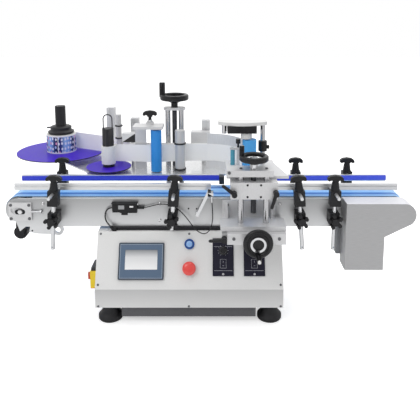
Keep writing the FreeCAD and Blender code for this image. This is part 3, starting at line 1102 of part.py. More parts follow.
def make_cross_slide():
    """The fixed slideway on the conveyor's front plate, its saddle and the screw with its crank."""
    x = SLIDE_SCREW_X
    z = SLIDE_SCREW_Z
    way = box((SLIDE_LEFT + 18, SLIDE_RIGHT - 2), (SLIDE_FRONT, PLATE_Y), (SLIDE_WAY_BOTTOM, SLIDE_WAY_TOP))
    channel = box((x - SLOT_HALF, x + SLOT_HALF), (SLIDE_BEARING, PLATE_Y - 12), (z - 9, SLIDE_WAY_TOP))
    way = way.cut(channel)
    way = way.cut(rod(SLIDE_SCREW_RADIUS + RUNNING, (x, SLIDE_FRONT, z), (x, SLIDE_BEARING, z)))
    plate = box(SLIDE_PLATE_XS, (PLATE_Y, FRAME_FRONT), (SIDE_PLATE_BOTTOM, SLIDE_PLATE_TOP))
    way = way.fuse(plate)
    for rib_x in SLIDE_RIB_XS:
        rib = [(rib_x, PLATE_Y, SLIDE_WAY_TOP), (rib_x, PLATE_Y, SLIDE_RIB_TOP)]
        rib += [(rib_x, PLATE_Y - 6, SLIDE_RIB_TOP), (rib_x, PLATE_Y - 22, SLIDE_WAY_TOP)]
        way = way.fuse(slab(rib, (6, 0, 0)))
    lug = box((SLIDE_LEFT + 4, SLIDE_LEFT + 18), (SLIDE_FRONT + 8, SLIDE_FRONT + 32), (z - 10, z + 10))
    save("cross_slide_way", way.fuse(lug))
    saddle_ys = (SADDLE_FRONT, SADDLE_FRONT + SADDLE_DEPTH)
    saddle = box((SLIDE_LEFT, SLIDE_RIGHT), saddle_ys, (SLIDE_WAY_TOP + GAP, SADDLE_TOP))
    nut = box((x - SLOT_HALF + 1, x + SLOT_HALF - 1), SLIDE_NUT, (z - 8, SLIDE_WAY_TOP + GAP))
    nut = nut.cut(rod(SLIDE_SCREW_RADIUS + RUNNING, (x, SLIDE_NUT[0], z), (x, SLIDE_NUT[1], z)))
    save("cross_slide_saddle", saddle.fuse(nut), *lift_frame())
    screw = rod(SLIDE_SCREW_RADIUS, (x, SLIDE_WHEEL_Y, z), (x, PLATE_Y - 14, z))
    face = (SLIDE_WHEEL_Y - SLIDE_WHEEL_WIDTH / 2, SLIDE_WHEEL_Y + SLIDE_WHEEL_WIDTH / 2)
    rim = Part.makeTorus(SLIDE_WHEEL_RADIUS - 7, 7, Vector(x, SLIDE_WHEEL_Y, z), Vector(0, 1, 0))
    disc = rod(SLIDE_WHEEL_RADIUS - 7, (x, face[0] + 3, z), (x, face[1] - 2, z))
    hub = rod(21.0, (x, face[0] - 2, z), (x, face[0] + 3, z))
    hub = hub.cut(rod(15.0, (x, face[0] - 2, z), (x, face[0] + 1, z)))
    sleeve = rod(11.0, (x, face[1] - 2, z), (x, SLIDE_FRONT - GAP, z))
    grip_z = z - SLIDE_WHEEL_RADIUS + 9
    grip = rod(6.5, (x, SLIDE_GRIP_TIP + 4, grip_z), (x, face[0] + 4, grip_z))
    grip = grip.fuse(rod(4.5, (x, SLIDE_GRIP_TIP, grip_z), (x, SLIDE_GRIP_TIP + 4, grip_z)))
    save("cross_slide_crank", screw.fuse([rim, disc, hub, sleeve, grip]))


def lift_frame():
    """The two posts on the saddle and the block across their tops."""
    y = LIFT_Y
    pieces = []
    for x in LIFT_POST_XS:
        pieces.append(rod(LIFT_POST_RADIUS, (x, y, SADDLE_TOP), (x, y, LIFT_POST_TOP)))
    block = box(LIFT_BLOCK_XS, (y - 20, y + 30), (LIFT_POST_TOP, LIFT_BLOCK_TOP))
    bore = rod(LIFT_JOURNAL + RUNNING, (LIFT_X, y, LIFT_POST_TOP), (LIFT_X, y, LIFT_BLOCK_TOP))
    pieces.append(block.cut(bore))
    return pieces


def make_lift():
    """The lifting screw with its crank, the carriage on the posts and the clamping levers."""
    y = LIFT_Y
    screw = rod(LIFT_SCREW_RADIUS, (LIFT_X, y, LIFT_SCREW_BOTTOM), (LIFT_X, y, LIFT_POST_TOP - GAP))
    screw = screw.fuse(rod(LIFT_JOURNAL, (LIFT_X, y, LIFT_POST_TOP - 1), (LIFT_X, y, LIFT_WHEEL_Z)))
    screw = screw.fuse(rod(11, (LIFT_X, y, LIFT_BLOCK_TOP + GAP), (LIFT_X, y, LIFT_WHEEL_Z)))
    length = LIFT_GRIP_TOP - LIFT_WHEEL_Z
    centre = (LIFT_X, y, LIFT_WHEEL_Z)
    wheel = crank_wheel(centre, LIFT_WHEEL_RADIUS, LIFT_WHEEL_WIDTH, 12, LIFT_GRIP_RADIUS, length)
    save("lift_crank", screw.fuse(wheel))
    ys = (y - CARRIAGE_DEPTH / 2, y + CARRIAGE_DEPTH / 2)
    zs = (CARRIAGE_BOTTOM, CARRIAGE_BOTTOM + CARRIAGE_HEIGHT)
    carriage = box((CARRIAGE_LEFT, CARRIAGE_LEFT + CARRIAGE_WIDTH), ys, zs)
    for x in LIFT_POST_XS:
        carriage = carriage.cut(rod(LIFT_POST_RADIUS + RUNNING, (x, y, zs[0]), (x, y, zs[1])))
    carriage = carriage.cut(rod(LIFT_SCREW_RADIUS + RUNNING, (LIFT_X, y, zs[0]), (LIFT_X, y, zs[1])))
    for dx in CARRIAGE_HOLE_XS:
        for z in (zs[0] + CARRIAGE_HOLE_INSET, zs[1] - CARRIAGE_HOLE_INSET):
            hole = rod(CARRIAGE_HOLE_RADIUS, (LIFT_X + dx, ys[0], z), (LIFT_X + dx, ys[0] + 6, z))
            carriage = carriage.cut(hole)
    save("lift_carriage", carriage)
    levers = (("left_carriage_lever", CARRIAGE_LEFT + 10, 404.0, ys[0], 142.0, 38.0),
              ("right_carriage_lever", CARRIAGE_LEFT + CARRIAGE_WIDTH - 6, 406.0, ys[0], -106.0, 40.0),
              ("slide_lever", SLIDE_LEFT + 10, SLIDE_SCREW_Z, SLIDE_FRONT + 8, 184.0, 38.0))
    for node, x, z, face, angle, length in levers:
        lever = rod(7.5, (x, face - 20, z), (x, face - GAP, z))
        arm = turned([(0, 0), (5.5, 0), (4.3, length), (3.2, length + 3.2), (0, length + 4.3)], (0, 0, 0))
        arm.Placement = FreeCAD.Placement(Vector(x, face - 12, z), Rotation(Vector(0, 1, 0), 90 - angle))
        save(node, lever.fuse(arm))


def make_wrap_head():
    """The wrapping arm on the carriage, with its driven roller, idle roller and head plate."""
    low = CARRIAGE_BOTTOM + CARRIAGE_HEIGHT
    top = low + ARM_PLATE
    front = LIFT_Y + ARM_SETBACK
    notch_y = WRAP_Y - ARM_NOTCH_DEPTH
    outline = [(ARM_LEFT, front), (ARM_CORNER, front), (ARM_RIGHT, -84.0), (ARM_RIGHT, ARM_REAR)]
    outline += [(ARM_NOTCH[1], ARM_REAR), (ARM_NOTCH[1], notch_y), (ARM_NOTCH[0], notch_y)]
    outline += [(ARM_NOTCH[0], ARM_REAR), (ARM_LEFT, ARM_REAR)]
    plate = slab([(x, y, low) for x, y in outline], (0, 0, ARM_PLATE))
    plate = plate.cut(rod(IDLE_RADIUS + RUNNING, (IDLE_X, WRAP_Y, low), (IDLE_X, WRAP_Y, top)))
    bar = box((IDLE_X + 12, IDLE_X + 20), (WRAP_Y - 5, WRAP_Y + 5), (top, IDLE_TOP - 6))
    over = box((IDLE_X - 8, IDLE_X + 20), (WRAP_Y - 8, WRAP_Y + 8), (IDLE_TOP - 6, IDLE_TOP))
    over = over.cut(rod(4 + RUNNING, (IDLE_X, WRAP_Y, IDLE_TOP - 6), (IDLE_X, WRAP_Y, IDLE_TOP)))
    knob = rod(3, (IDLE_X + 16, WRAP_Y, IDLE_TOP), (IDLE_X + 16, WRAP_Y, IDLE_TOP + 14))
    knob = knob.fuse(rod(7, (IDLE_X + 16, WRAP_Y, IDLE_TOP + 12), (IDLE_X + 16, WRAP_Y, IDLE_TOP + 25)))
    post_top = HEAD_PLATE_BOTTOM
    post = rod(ARM_POST_RADIUS, (ARM_POST_X, ARM_POST_Y, top), (ARM_POST_X, ARM_POST_Y, post_top))
    collar_ends = [(ARM_POST_X, ARM_POST_Y, z) for z in COLLAR_Z]
    collar = ring(13, ARM_POST_RADIUS, *collar_ends)
    screw_zs = (COLLAR_Z[0] + 7, COLLAR_Z[0] + 17)
    collar = collar.fuse(box((ARM_POST_X + 12, ARM_POST_X + 20), (ARM_POST_Y - 5, ARM_POST_Y + 5), screw_zs))
    save("wrap_arm", plate, bar.fuse(over), knob)
    idle = rod(IDLE_RADIUS, (IDLE_X, WRAP_Y, WRAP_BOTTOM + 4), (IDLE_X, WRAP_Y, IDLE_TOP - 6 - GAP))
    save("idle_roller", idle.fuse(rod(4, (IDLE_X, WRAP_Y, IDLE_TOP - 8), (IDLE_X, WRAP_Y, IDLE_TOP - 1))))
    roller = rod(WRAP_RADIUS, (WRAP_X, WRAP_Y, WRAP_BOTTOM), (WRAP_X, WRAP_Y, WRAP_TOP))
    save("wrap_roller", roller.fuse(rod(5, (WRAP_X, WRAP_Y, WRAP_TOP), (WRAP_X, WRAP_Y, CASE_BOTTOM + 8))))
    left = HEAD_PLATE_X - HEAD_PLATE_HALF
    right = HEAD_PLATE_X + HEAD_PLATE_HALF
    z = HEAD_PLATE_BOTTOM
    shoulder = HEAD_PLATE_FRONT + 22
    corners = [(right, shoulder, z), (right, HEAD_PLATE_REAR, z)]
    corners += [(left, HEAD_PLATE_REAR, z), (left, shoulder, z)]
    edges = [line_edge(here, after) for here, after in zip(corners, corners[1:])]
    edges.append(arc_edge(corners[3], (HEAD_PLATE_X, HEAD_PLATE_FRONT, z), corners[0]))
    head = Part.Face(Part.Wire(edges)).extrude(Vector(0, 0, HEAD_PLATE))
    stub = (left + 18, HEAD_PLATE_REAR - 24)
    head = head.fuse(rod(7.5, (*stub, z - 28), (*stub, z)))
    save("wrap_head_plate", head, post, collar)
    case = box(CASE_XS, (WRAP_Y - CASE_FRONT, WRAP_Y + CASE_REAR), (CASE_BOTTOM, z))
    hub = rod(16, (WRAP_X - 9, WRAP_Y, WRAP_TOP + 3), (WRAP_X - 9, WRAP_Y, CASE_BOTTOM))
    case = case.fuse(hub)
    bore = rod(5 + RUNNING, (WRAP_X, WRAP_Y, WRAP_TOP), (WRAP_X, WRAP_Y, CASE_BOTTOM + 8))
    save("wrap_drive_case", case.cut(bore))


def cord(name, route, radius):
    """A tube of straight runs and tangent arcs along a route, with its bends reported."""
    points = [Vector(*p) for p in route]
    edges = []
    last = points[0]
    for before, here, after in zip(points, points[1:], points[2:]):
        shorter = min((here - before).Length, (after - here).Length)
        turn = (here - before).getAngle(after - here)
        cut = 0.45 * shorter
        bend = cut / math.tan(turn / 2)
        inward = (before - here).normalize()
        outward = (after - here).normalize()
        start = here + inward * cut
        end = here + outward * cut
        middle = here + (inward + outward).normalize() * (bend / math.cos(turn / 2) - bend)
        edges.append(Part.LineSegment(last, start).toShape())
        edges.append(Part.Arc(start, middle, end).toShape())
        print(name, "bend radius", round(bend, 1), "mm")
        last = end
    edges.append(Part.LineSegment(last, points[-1]).toShape())
    length = sum(edge.Length for edge in edges)
    along = points[1] - points[0]
    section = Part.Wire(Part.Circle(points[0], along, radius).toShape())
    tube = Part.Wire(edges).makePipeShell([section], True, True)
    ratio = tube.Volume / (math.pi * radius ** 2 * length)
    print(name, "length", round(length, 1), "mm, volume against section times length", round(ratio, 4))
    return tube


def make_sensor():
    """The bottle sensor: amplifier on its bracket, its lead, and the light guide in its holder."""
    x = AMPLIFIER_X
    right = x + AMPLIFIER_LENGTH
    top = AMPLIFIER_BOTTOM + AMPLIFIER_HEIGHT
    front = FRAME_FRONT - 2 - AMPLIFIER_DEPTH
    body = box((x, right), (front, FRAME_FRONT - 2), (AMPLIFIER_BOTTOM, top))
    body = body.cut(box((x, x + 22), (front, front + 4), (AMPLIFIER_BOTTOM, AMPLIFIER_BOTTOM + 6)))
    latch_zs = (AMPLIFIER_BOTTOM - 7, AMPLIFIER_BOTTOM)
    body = body.fuse(box((x + 26, x + 44), (front + 2, FRAME_FRONT - 3), latch_zs))
    middle = (FRAME_FRONT - 8, 325.0)
    body = body.fuse(rod(4, (right, *middle), (right + 20, *middle)))
    angle = box((x - 2, right + 2), (front - 2, FRAME_FRONT), (top, top + 2))
    angle = angle.fuse(box((x - 2, right + 2), (FRAME_FRONT - 2, FRAME_FRONT), (AMPLIFIER_BOTTOM + 2, top)))
    hx = FIBRE_HOLDER_X
    hy = FIBRE_HOLDER_Y
    tip = rod(3.5, (hx, hy, FIBRE_HOLDER_Z[0]), (hx, hy, FIBRE_HOLDER_Z[1]))
    arm = slab([(4, -152, 301), (12, -152, 298), (50, -152, 379), (42, -152, 383)], (0, 3, 0))
    stud = rod(5, (10, FRAME_FRONT, 308), (10, -149, 308))
    clip = box((40, 56), (-175, -152), (368, 378)).cut(rod(3.5, (hx, hy, 360), (hx, hy, 385)))
    save("sensor_amplifier", body, angle, tip, arm.fuse(stud), clip)
    save("amplifier_cable", cord("amplifier_cable", CABLE_ROUTE, CABLE_RADIUS))
    save("fibre_cable", cord("fibre_cable", FIBRE_ROUTE, FIBRE_RADIUS))


os.makedirs("parts", exist_ok=True)
make_cabinet()
make_feet()
make_touch_screen()
make_speed_controllers(make_buttons())
make_power_switch()
make_conveyor()
make_drive()
make_brackets()
make_rails()
make_risers()
make_head_lift()
make_deck()
make_reel()
make_rewinder()
make_web_rollers()
make_traction_housing()
make_peel_plate()
make_web()
make_deck_fittings()
make_cross_slide()
make_lift()
make_wrap_head()
make_sensor()
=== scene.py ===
import json
import math

import bmesh
import bpy
from mathutils import Matrix, Vector

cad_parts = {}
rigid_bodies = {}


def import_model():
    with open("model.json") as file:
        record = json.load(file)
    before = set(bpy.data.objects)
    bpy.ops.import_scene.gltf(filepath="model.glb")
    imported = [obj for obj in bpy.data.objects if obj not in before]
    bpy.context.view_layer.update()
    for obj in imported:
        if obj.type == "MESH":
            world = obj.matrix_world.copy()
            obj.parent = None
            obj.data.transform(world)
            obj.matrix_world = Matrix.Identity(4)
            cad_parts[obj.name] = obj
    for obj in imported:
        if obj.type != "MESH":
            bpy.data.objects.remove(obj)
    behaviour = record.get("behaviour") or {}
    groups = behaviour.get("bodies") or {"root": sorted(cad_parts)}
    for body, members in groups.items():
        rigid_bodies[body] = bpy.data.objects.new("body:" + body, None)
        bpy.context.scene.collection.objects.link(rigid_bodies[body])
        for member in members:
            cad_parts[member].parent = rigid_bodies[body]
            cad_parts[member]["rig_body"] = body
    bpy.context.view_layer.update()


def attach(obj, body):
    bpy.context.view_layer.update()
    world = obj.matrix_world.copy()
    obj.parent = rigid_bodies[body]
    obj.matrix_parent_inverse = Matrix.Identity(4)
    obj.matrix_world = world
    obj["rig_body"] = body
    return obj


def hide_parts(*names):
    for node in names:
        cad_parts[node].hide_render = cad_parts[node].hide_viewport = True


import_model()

MM = 0.001
bpy.context.scene.view_settings.view_transform = "Standard"


# Base cabinet
# A folded sheet-steel desk cabinet, spot welded and powder coated in a warm white. The coat leaves a
# faint orange peel and soft folds, so its edges catch a thin light. The upright face below the slanted
# panel carries painted shade that darkens it towards the fold.

def linear(code):
    """A hex colour as it is seen, turned to the linear values that a shader takes."""
    parts = [int(code[i:i + 2], 16) / 255 for i in (1, 3, 5)]
    return [c / 12.92 if c <= 0.04045 else ((c + 0.055) / 1.055) ** 2.4 for c in parts] + [1.0]


def node(tree, kind, settings=(), **plugs):
    """Adds one node. A plug is named after an input, or is i with the input's number, and takes a
    value or another node's output."""
    made = tree.nodes.new(kind)
    for word, value in dict(settings).items():
        setattr(made, word, value)
    for word, value in plugs.items():
        numbered = word[0] == "i" and word[1:].isdigit()
        place = made.inputs[int(word[1:]) if numbered else word.replace("_", " ")]
        if isinstance(value, bpy.types.NodeSocket):
            tree.links.new(value, place)
        elif isinstance(value, bpy.types.Node):
            tree.links.new(value.outputs[0], place)
        else:
            place.default_value = value
    return made


def finish(name, colour, roughness, **constants):
    """A material with one shader, whose plain values are set on the shader itself."""
    made = bpy.data.materials.new(name)
    made.use_nodes = True
    tree = made.node_tree
    shader = tree.nodes["Principled BSDF"]
    shader.inputs["Base Color"].default_value = linear(colour)
    shader.inputs["Roughness"].default_value = roughness
    for word, value in constants.items():
        shader.inputs[word.replace("_", " ")].default_value = value
    return made, tree, shader


def grain(tree, shader, size, height, tone=None, rough=None, stretch=(1, 1, 1), detail=3.0):
    """Breaks up a finish with a fine noise: its relief, and a small change of tone and of roughness.
    size is the grain's width in millimetres, height the relief's depth in millimetres."""
    place = node(tree, "ShaderNodeTexCoord")
    turned = node(tree, "ShaderNodeMapping", Vector=place.outputs["Object"], Scale=stretch)
    noise = node(tree, "ShaderNodeTexNoise", Vector=turned, Scale=1 / (size * MM), Detail=detail)
    bump = node(tree, "ShaderNodeBump", Height=noise.outputs["Fac"], Distance=height * MM, Strength=1.0)
    tree.links.new(bump.outputs["Normal"], shader.inputs["Normal"])
    for limits, socket in ((tone, "Base Color"), (rough, "Roughness")):
        if limits:
            ramp = node(tree, "ShaderNodeValToRGB", Fac=noise.outputs["Fac"])
            low, high = ramp.color_ramp.elements
            low.position, high.position = 0.3, 0.7
            low.color = linear(limits[0]) if socket == "Base Color" else [limits[0]] * 3 + [1]
            high.color = linear(limits[1]) if socket == "Base Color" else [limits[1]] * 3 + [1]
            tree.links.new(ramp.outputs["Color"], shader.inputs[socket])
    return noise


def axes(tree, origin=(0, 0, 0), turn=(0, 0, 0)):
    """Where a point of the surface lies along axes with their own origin and turn. In metres."""
    place = node(tree, "ShaderNodeTexCoord")
    moved = node(tree, "ShaderNodeMapping", {"vector_type": "TEXTURE"}, Vector=place.outputs["Object"],
                 Location=origin, Rotation=turn)
    return node(tree, "ShaderNodeSeparateXYZ", Vector=moved).outputs


def coloured(tree, shader, source, stops, kind="CONSTANT"):
    """Lays colours out along a length. A stop is where its colour starts, in metres, and the colour."""
    low, high = stops[0][0], stops[-1][0]
    share = node(tree, "ShaderNodeMapRange", Value=source, From_Min=low, From_Max=high)
    ramp = node(tree, "ShaderNodeValToRGB", Fac=share)
    ramp.color_ramp.interpolation = kind
    marks = ramp.color_ramp.elements
    marks[0].color = linear(stops[0][1])
    marks[1].color = linear(stops[-1][1])
    for start, code in stops[1:-1]:
        marks.new((start - low) / (high - low)).color = linear(code)
    tree.links.new(ramp.outputs["Color"], shader.inputs["Base Color"])


def cast(name, form, body, materials, replaced=()):
    """Turns finished mesh data into a piece that rides on a body and stands for CAD nodes."""
    mesh = bpy.data.meshes.new(name)
    form.to_mesh(mesh)
    form.free()
    piece = bpy.data.objects.new(name, mesh)
    bpy.context.scene.collection.objects.link(piece)
    for finish_used in materials:
        mesh.materials.append(finish_used)
    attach(piece, body)
    if replaced:
        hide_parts(*replaced)
    return piece


def smooth(piece, degrees=32):
    """Shades round faces smooth and keeps the edges that are sharper than an angle."""
    mesh = piece.data
    mesh.polygons.foreach_set("use_smooth", [True] * len(mesh.polygons))
    mesh.set_sharp_from_angle(angle=math.radians(degrees))


def dressed(name, cad, materials, rule=None, edge=0.0, degrees=32):
    """A finished copy of a CAD node: its loose triangles joined, its round faces smooth, its edges
    broken by a small radius in millimetres and each face given the material that the rule picks."""
    body = bpy.data.objects[cad]["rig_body"]
    form = bmesh.new()
    form.from_mesh(bpy.data.objects[cad].data)
    bmesh.ops.remove_doubles(form, verts=form.verts, dist=0.000002)
    if rule:
        for face in form.faces:
            face.material_index = rule(face.calc_center_median() / MM, face.normal)
    else:
        for face in form.faces:
            face.material_index = 0
    if edge:
        limit = math.radians(1)
        bmesh.ops.dissolve_limit(form, angle_limit=limit, verts=form.verts, edges=form.edges,
                                 delimit={"MATERIAL"})
    piece = cast(name, form, body, materials, [cad])
    smooth(piece, degrees)
    if edge:
        bevel = piece.modifiers.new("edge", "BEVEL")
        bevel.width = edge * MM
        bevel.segments = 2
        bevel.limit_method = "ANGLE"
        bevel.angle_limit = math.radians(40)
        bevel.harden_normals = True
    return piece


def repeated(name, form, spots, finish_used, body="root", size=1.0):
    """Sets one small part down at many spots with Geometry Nodes. A spot is a place in millimetres and
    its turns about X, Y and Z in degrees."""
    unit_mesh = bpy.data.meshes.new(name + "_unit")
    form.to_mesh(unit_mesh)
    form.free()
    unit = bpy.data.objects.new(name + "_unit", unit_mesh)
    spot_mesh = bpy.data.meshes.new(name + "_spots")
    spot_mesh.from_pydata([[value * MM for value in spot] for spot, turn in spots], [], [])
    turns = spot_mesh.attributes.new("turn", "FLOAT_VECTOR", "POINT")
    for entry, (spot, turn) in zip(turns.data, spots):
        entry.vector = [math.radians(value) for value in turn]
    carrier = bpy.data.objects.new(name + "_spots", spot_mesh)
    for made in (unit, carrier):
        bpy.context.scene.collection.objects.link(made)
    tree = bpy.data.node_groups.new(name, "GeometryNodeTree")
    sockets = {}
    for word, kind in (("Spots", "Geometry"), ("Part", "Object"), ("Size", "Float"),
                       ("Finish", "Material")):
        socket = tree.interface.new_socket(name=word, in_out="INPUT", socket_type="NodeSocket" + kind)
        sockets[word] = socket.identifier
    tree.interface.new_socket(name="Parts", in_out="OUTPUT", socket_type="NodeSocketGeometry")
    start = node(tree, "NodeGroupInput").outputs
    part = node(tree, "GeometryNodeObjectInfo", Object=start["Part"])
    turn = node(tree, "GeometryNodeInputNamedAttribute", {"data_type": "FLOAT_VECTOR"}, Name="turn")
    placed = node(tree, "GeometryNodeInstanceOnPoints", Points=start["Spots"],
                  Instance=part.outputs["Geometry"], Rotation=turn.outputs["Attribute"],
                  Scale=start["Size"])
    real = node(tree, "GeometryNodeRealizeInstances", Geometry=placed)
    node(tree, "NodeGroupOutput", Parts=node(tree, "GeometryNodeSetMaterial", Geometry=real,
                                             Material=start["Finish"]))
    spread = carrier.modifiers.new("spread", "NODES")
    spread.node_group = tree
    spread[sockets["Part"]] = unit
    spread[sockets["Size"]] = size
    spread[sockets["Finish"]] = finish_used
    seen = carrier.evaluated_get(bpy.context.evaluated_depsgraph_get())
    mesh = bpy.data.meshes.new_from_object(seen)
    mesh.name = name
    for scratch in (carrier, unit):
        bpy.data.objects.remove(scratch)
    piece = bpy.data.objects.new(name, mesh)
    bpy.context.scene.collection.objects.link(piece)
    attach(piece, body)
    return piece


def lathe(profile, steps=20):
    """A profile of (radius, height) points in millimetres, turned about Z."""
    form = bmesh.new()
    rings = []
    for radius, height in profile:
        angles = [math.tau * step / steps for step in range(steps)]
        rings.append([form.verts.new((radius * MM * math.cos(a), radius * MM * math.sin(a), height * MM))
                      for a in angles])
    for low, high in zip(rings, rings[1:]):
        for step in range(steps):
            after = (step + 1) % steps
            form.faces.new((low[step], low[after], high[after], high[step]))
    form.faces.new(rings[-1])
    form.faces.new(rings[0][::-1])
    return form


warm_coat, tree, shader = finish("powder_coat_white", "#E8E8E7", 0.42, Specular_IOR_Level=0.5)
grain(tree, shader, 1.1, 0.012, ("#E4E4E3", "#ECECEB"), (0.36, 0.48))
# Painted shade: the upright face under the fold is coloured darker towards the fold.
front_coat_painted_shade, tree, shader = finish("powder_coat_front_painted_shade", "#DCDCDB", 0.42, Specular_IOR_Level=0.5)
grain(tree, shader, 1.1, 0.012, rough=(0.36, 0.48))
FRONT_FACE = -225.0
FRONT_FOOT, FRONT_FOLD = 45.0, 112.0
coloured(tree, shader, axes(tree)["Z"],
         ((FRONT_FOOT * MM, "#E9E9E8"), (FRONT_FOLD * MM, "#C6C6C6")), "LINEAR")
dressed("cabinet_shell", "base_cabinet", [warm_coat, front_coat_painted_shade],
        lambda centre, normal: 1 if normal.y < -0.95 and centre.z < FRONT_FOLD else 0, edge=0.9)

PANEL_RUN, PANEL_RISE = 68.0, 145.0
PANEL_TILT = Matrix.Rotation(math.atan2(PANEL_RISE, PANEL_RUN), 4, "X")
ON_PANEL = Matrix.Translation(Vector((0, FRONT_FACE * MM, FRONT_FOLD * MM))) @ PANEL_TILT


def panel_spot(across, up, out=0.0, spin=0.0):
    """A spot on the slanted panel: its place and turns on the machine, as repeated takes them."""
    turn = (PANEL_TILT.to_3x3() @ Matrix.Rotation(spin, 3, "Z")).to_euler()
    return ON_PANEL @ (Vector((across, up, out)) * MM) / MM, [math.degrees(value) for value in turn]


screw_steel, tree, shader = finish("zinc_screw_dark", "#6E6F72", 0.34, Metallic=0.8)
grain(tree, shader, 0.6, 0.004, ("#626366", "#7E7F82"))
SCREW_HEAD = [(3.2, 0.0), (3.2, 0.9), (2.5, 1.7), (1.5, 1.8), (1.4, 0.8)]
FACES_FRONT = (90, 0, 0)
screw_spots = [((x, FRONT_FACE, 61.5), FACES_FRONT) for x in (-270.5, -13.5, 247.0)]
screw_spots += [panel_spot(across, 152.6) for across in (-270.5, -14.0, 246.5)]
screw_spots += [panel_spot(across, 12.8) for across in (-270.5, 246.5)]
smooth(repeated("cabinet_screws", lathe(SCREW_HEAD), screw_spots, screw_steel))

# Painted shade: the recessed plinth's dark grey stands for the shade under the cabinet.
tray_painted_shade, tree, shader = finish("plinth_steel_painted_shade", "#626366", 0.55)
grain(tree, shader, 1.4, 0.02, ("#5C5D60", "#69696C"))
dressed("base_tray", "base_plinth", [tray_painted_shade], edge=0.5)


# Machine feet
# Bell-shaped rubber feet on a threaded stud, moulded in one piece. Matt black rubber that shows dust
# on its shoulders.

rubber, tree, shader = finish("moulded_rubber_black", "#1B1B1D", 0.62)
grain(tree, shader, 0.9, 0.03, ("#161618", "#242427"), (0.5, 0.72))
dressed("bell_feet", "rubber_feet", [rubber], degrees=28)


# Operator's touch screen
# A panel-mounted screen in a grey-blue moulded ABS frame, clipped into the slanted panel. The glass is
# glossy over a pale, evenly lit display that shows nothing. The glass fades to grey towards its top,
# which is painted shade.

SCREEN_ACROSS, SCREEN_UP = -150.0, 77.0
SCREEN_WIDTH, SCREEN_HEIGHT = 130.0, 102.0
GLASS_WIDTH, GLASS_HEIGHT, GLASS_UP = 93.0, 55.0, 81.0
FRAME_FACE = 5.9


def on_panel(point):
    """Where a point of the machine lies on the panel: across, up the slope and out of it, in mm."""
    return ON_PANEL.inverted() @ Vector(point * MM) / MM


def on_screen(tree):
    """The panel's axes from the middle of the screen."""
    middle = ON_PANEL @ Vector((SCREEN_ACROSS * MM, SCREEN_UP * MM, 0.0))
    return axes(tree, middle, PANEL_TILT.to_euler())


screen_abs, tree, shader = finish("moulded_abs_slate", "#434C58", 0.38)
grain(tree, shader, 0.8, 0.01, ("#3E4752", "#49525E"), (0.33, 0.45))
# Painted shade: the glass goes from white at its foot to grey at its top.
display, tree, shader = finish("display_glass_painted_shade", "#E9EDF0", 0.12, Coat_Weight=0.6)
coloured(tree, shader, on_screen(tree)["Y"],
         ((-0.023, "#FFFFFF"), (0.0105, "#E6E7E8"), (0.031, "#8E9196")), "LINEAR")
bezel, tree, shader = finish("bezel_blue_grey", "#5C7088", 0.3)
grain(tree, shader, 0.8, 0.006)
face = on_screen(tree)
inward = []
for word, width in (("X", SCREEN_WIDTH), ("Y", SCREEN_HEIGHT)):
    reach = node(tree, "ShaderNodeMath", {"operation": "ABSOLUTE"}, i0=face[word])
    inward.append(node(tree, "ShaderNodeMath", {"operation": "SUBTRACT"}, i0=width / 2 * MM, i1=reach))
rim = node(tree, "ShaderNodeMath", {"operation": "MINIMUM"}, i0=inward[0], i1=inward[1])
coloured(tree, shader, rim, ((0.0, "#434C58"), (0.0042, "#A9B6C6"), (0.0054, "#5C7088")))


def screen_rule(centre, normal):
    """The glass lies in the window of the blue-grey frame, and the sides are slate."""
    across, up, out = on_panel(centre)
    in_window = abs(across - SCREEN_ACROSS) < GLASS_WIDTH / 2 and abs(up - GLASS_UP) < GLASS_HEIGHT / 2
    if in_window and out > 3.5:
        return 1 if out < 5.5 else 2
    return 2 if out > FRAME_FACE else 0


dressed("operator_screen", "touch_screen", [screen_abs, display, bezel], screen_rule, edge=0.5)


# Push buttons
# An illuminated start button with a pale blue lens in a blue anodised collar, and a red mushroom stop
# button over a black collar, both moulded and snapped into their threaded bodies.

black_abs, tree, shader = finish("moulded_abs_black", "#1E1E21", 0.35)
grain(tree, shader, 0.8, 0.01, ("#1A1A1C", "#252528"), (0.28, 0.42))
blue_lens, tree, shader = finish("lit_lens_blue", "#8FB9EE", 0.18, Coat_Weight=0.5)
grain(tree, shader, 3.0, 0.01, ("#7FAEEA", "#A6C9F4"))
blue_ring, tree, shader = finish("anodised_ring_blue", "#1C4F9C", 0.28, Coat_Weight=0.3)
grain(tree, shader, 0.7, 0.004, ("#184890", "#2058A8"))
red_cap, tree, shader = finish("moulded_cap_red", "#EE4B46", 0.3, Coat_Weight=0.4)
grain(tree, shader, 1.0, 0.006, ("#E6433F", "#F2564F"))


LENS_FOOT = 8.4
dressed("start_button_lens", "start_button", [blue_lens, black_abs],
        lambda centre, normal: 0 if on_panel(centre)[2] > LENS_FOOT else 1)
dressed("stop_mushroom", "stop_button", [red_cap])


# Speed controllers
# Two panel meters of moulded black ABS, each with a potentiometer knob over a printed dial and a rocker
# switch. The dial marks are white ink, pad printed.

controller_abs, tree, shader = finish("moulded_abs_ink_blue", "#1B1A2B", 0.34, Specular_IOR_Level=0.35)
grain(tree, shader, 0.8, 0.01, ("#171626", "#222133"), (0.28, 0.4))
screw_bright, tree, shader = finish("zinc_screw_bright", "#E2E2E3", 0.26, Metallic=0.75)
grain(tree, shader, 0.6, 0.004, ("#D8D8DA", "#ECECED"))
white_ink, tree, shader = finish("printed_ink_white", "#C9CBD2", 0.5)
grain(tree, shader, 0.4, 0.002, ("#C0C2CA", "#D2D4DA"))
BUTTONS_ACROSS, COLLAR_REACH, BETWEEN_BUTTONS = -13.0, 16.0, 90.0
CONTROLLER_UP, CONTROLLER_SCREW, CONTROLLER_FACE = 88.0, 46.5, 3.05
DIAL_UP, ROCKER_UP, TICK_RADIUS, INK_OUT = 106.0, 70.0, 14.6, 3.02


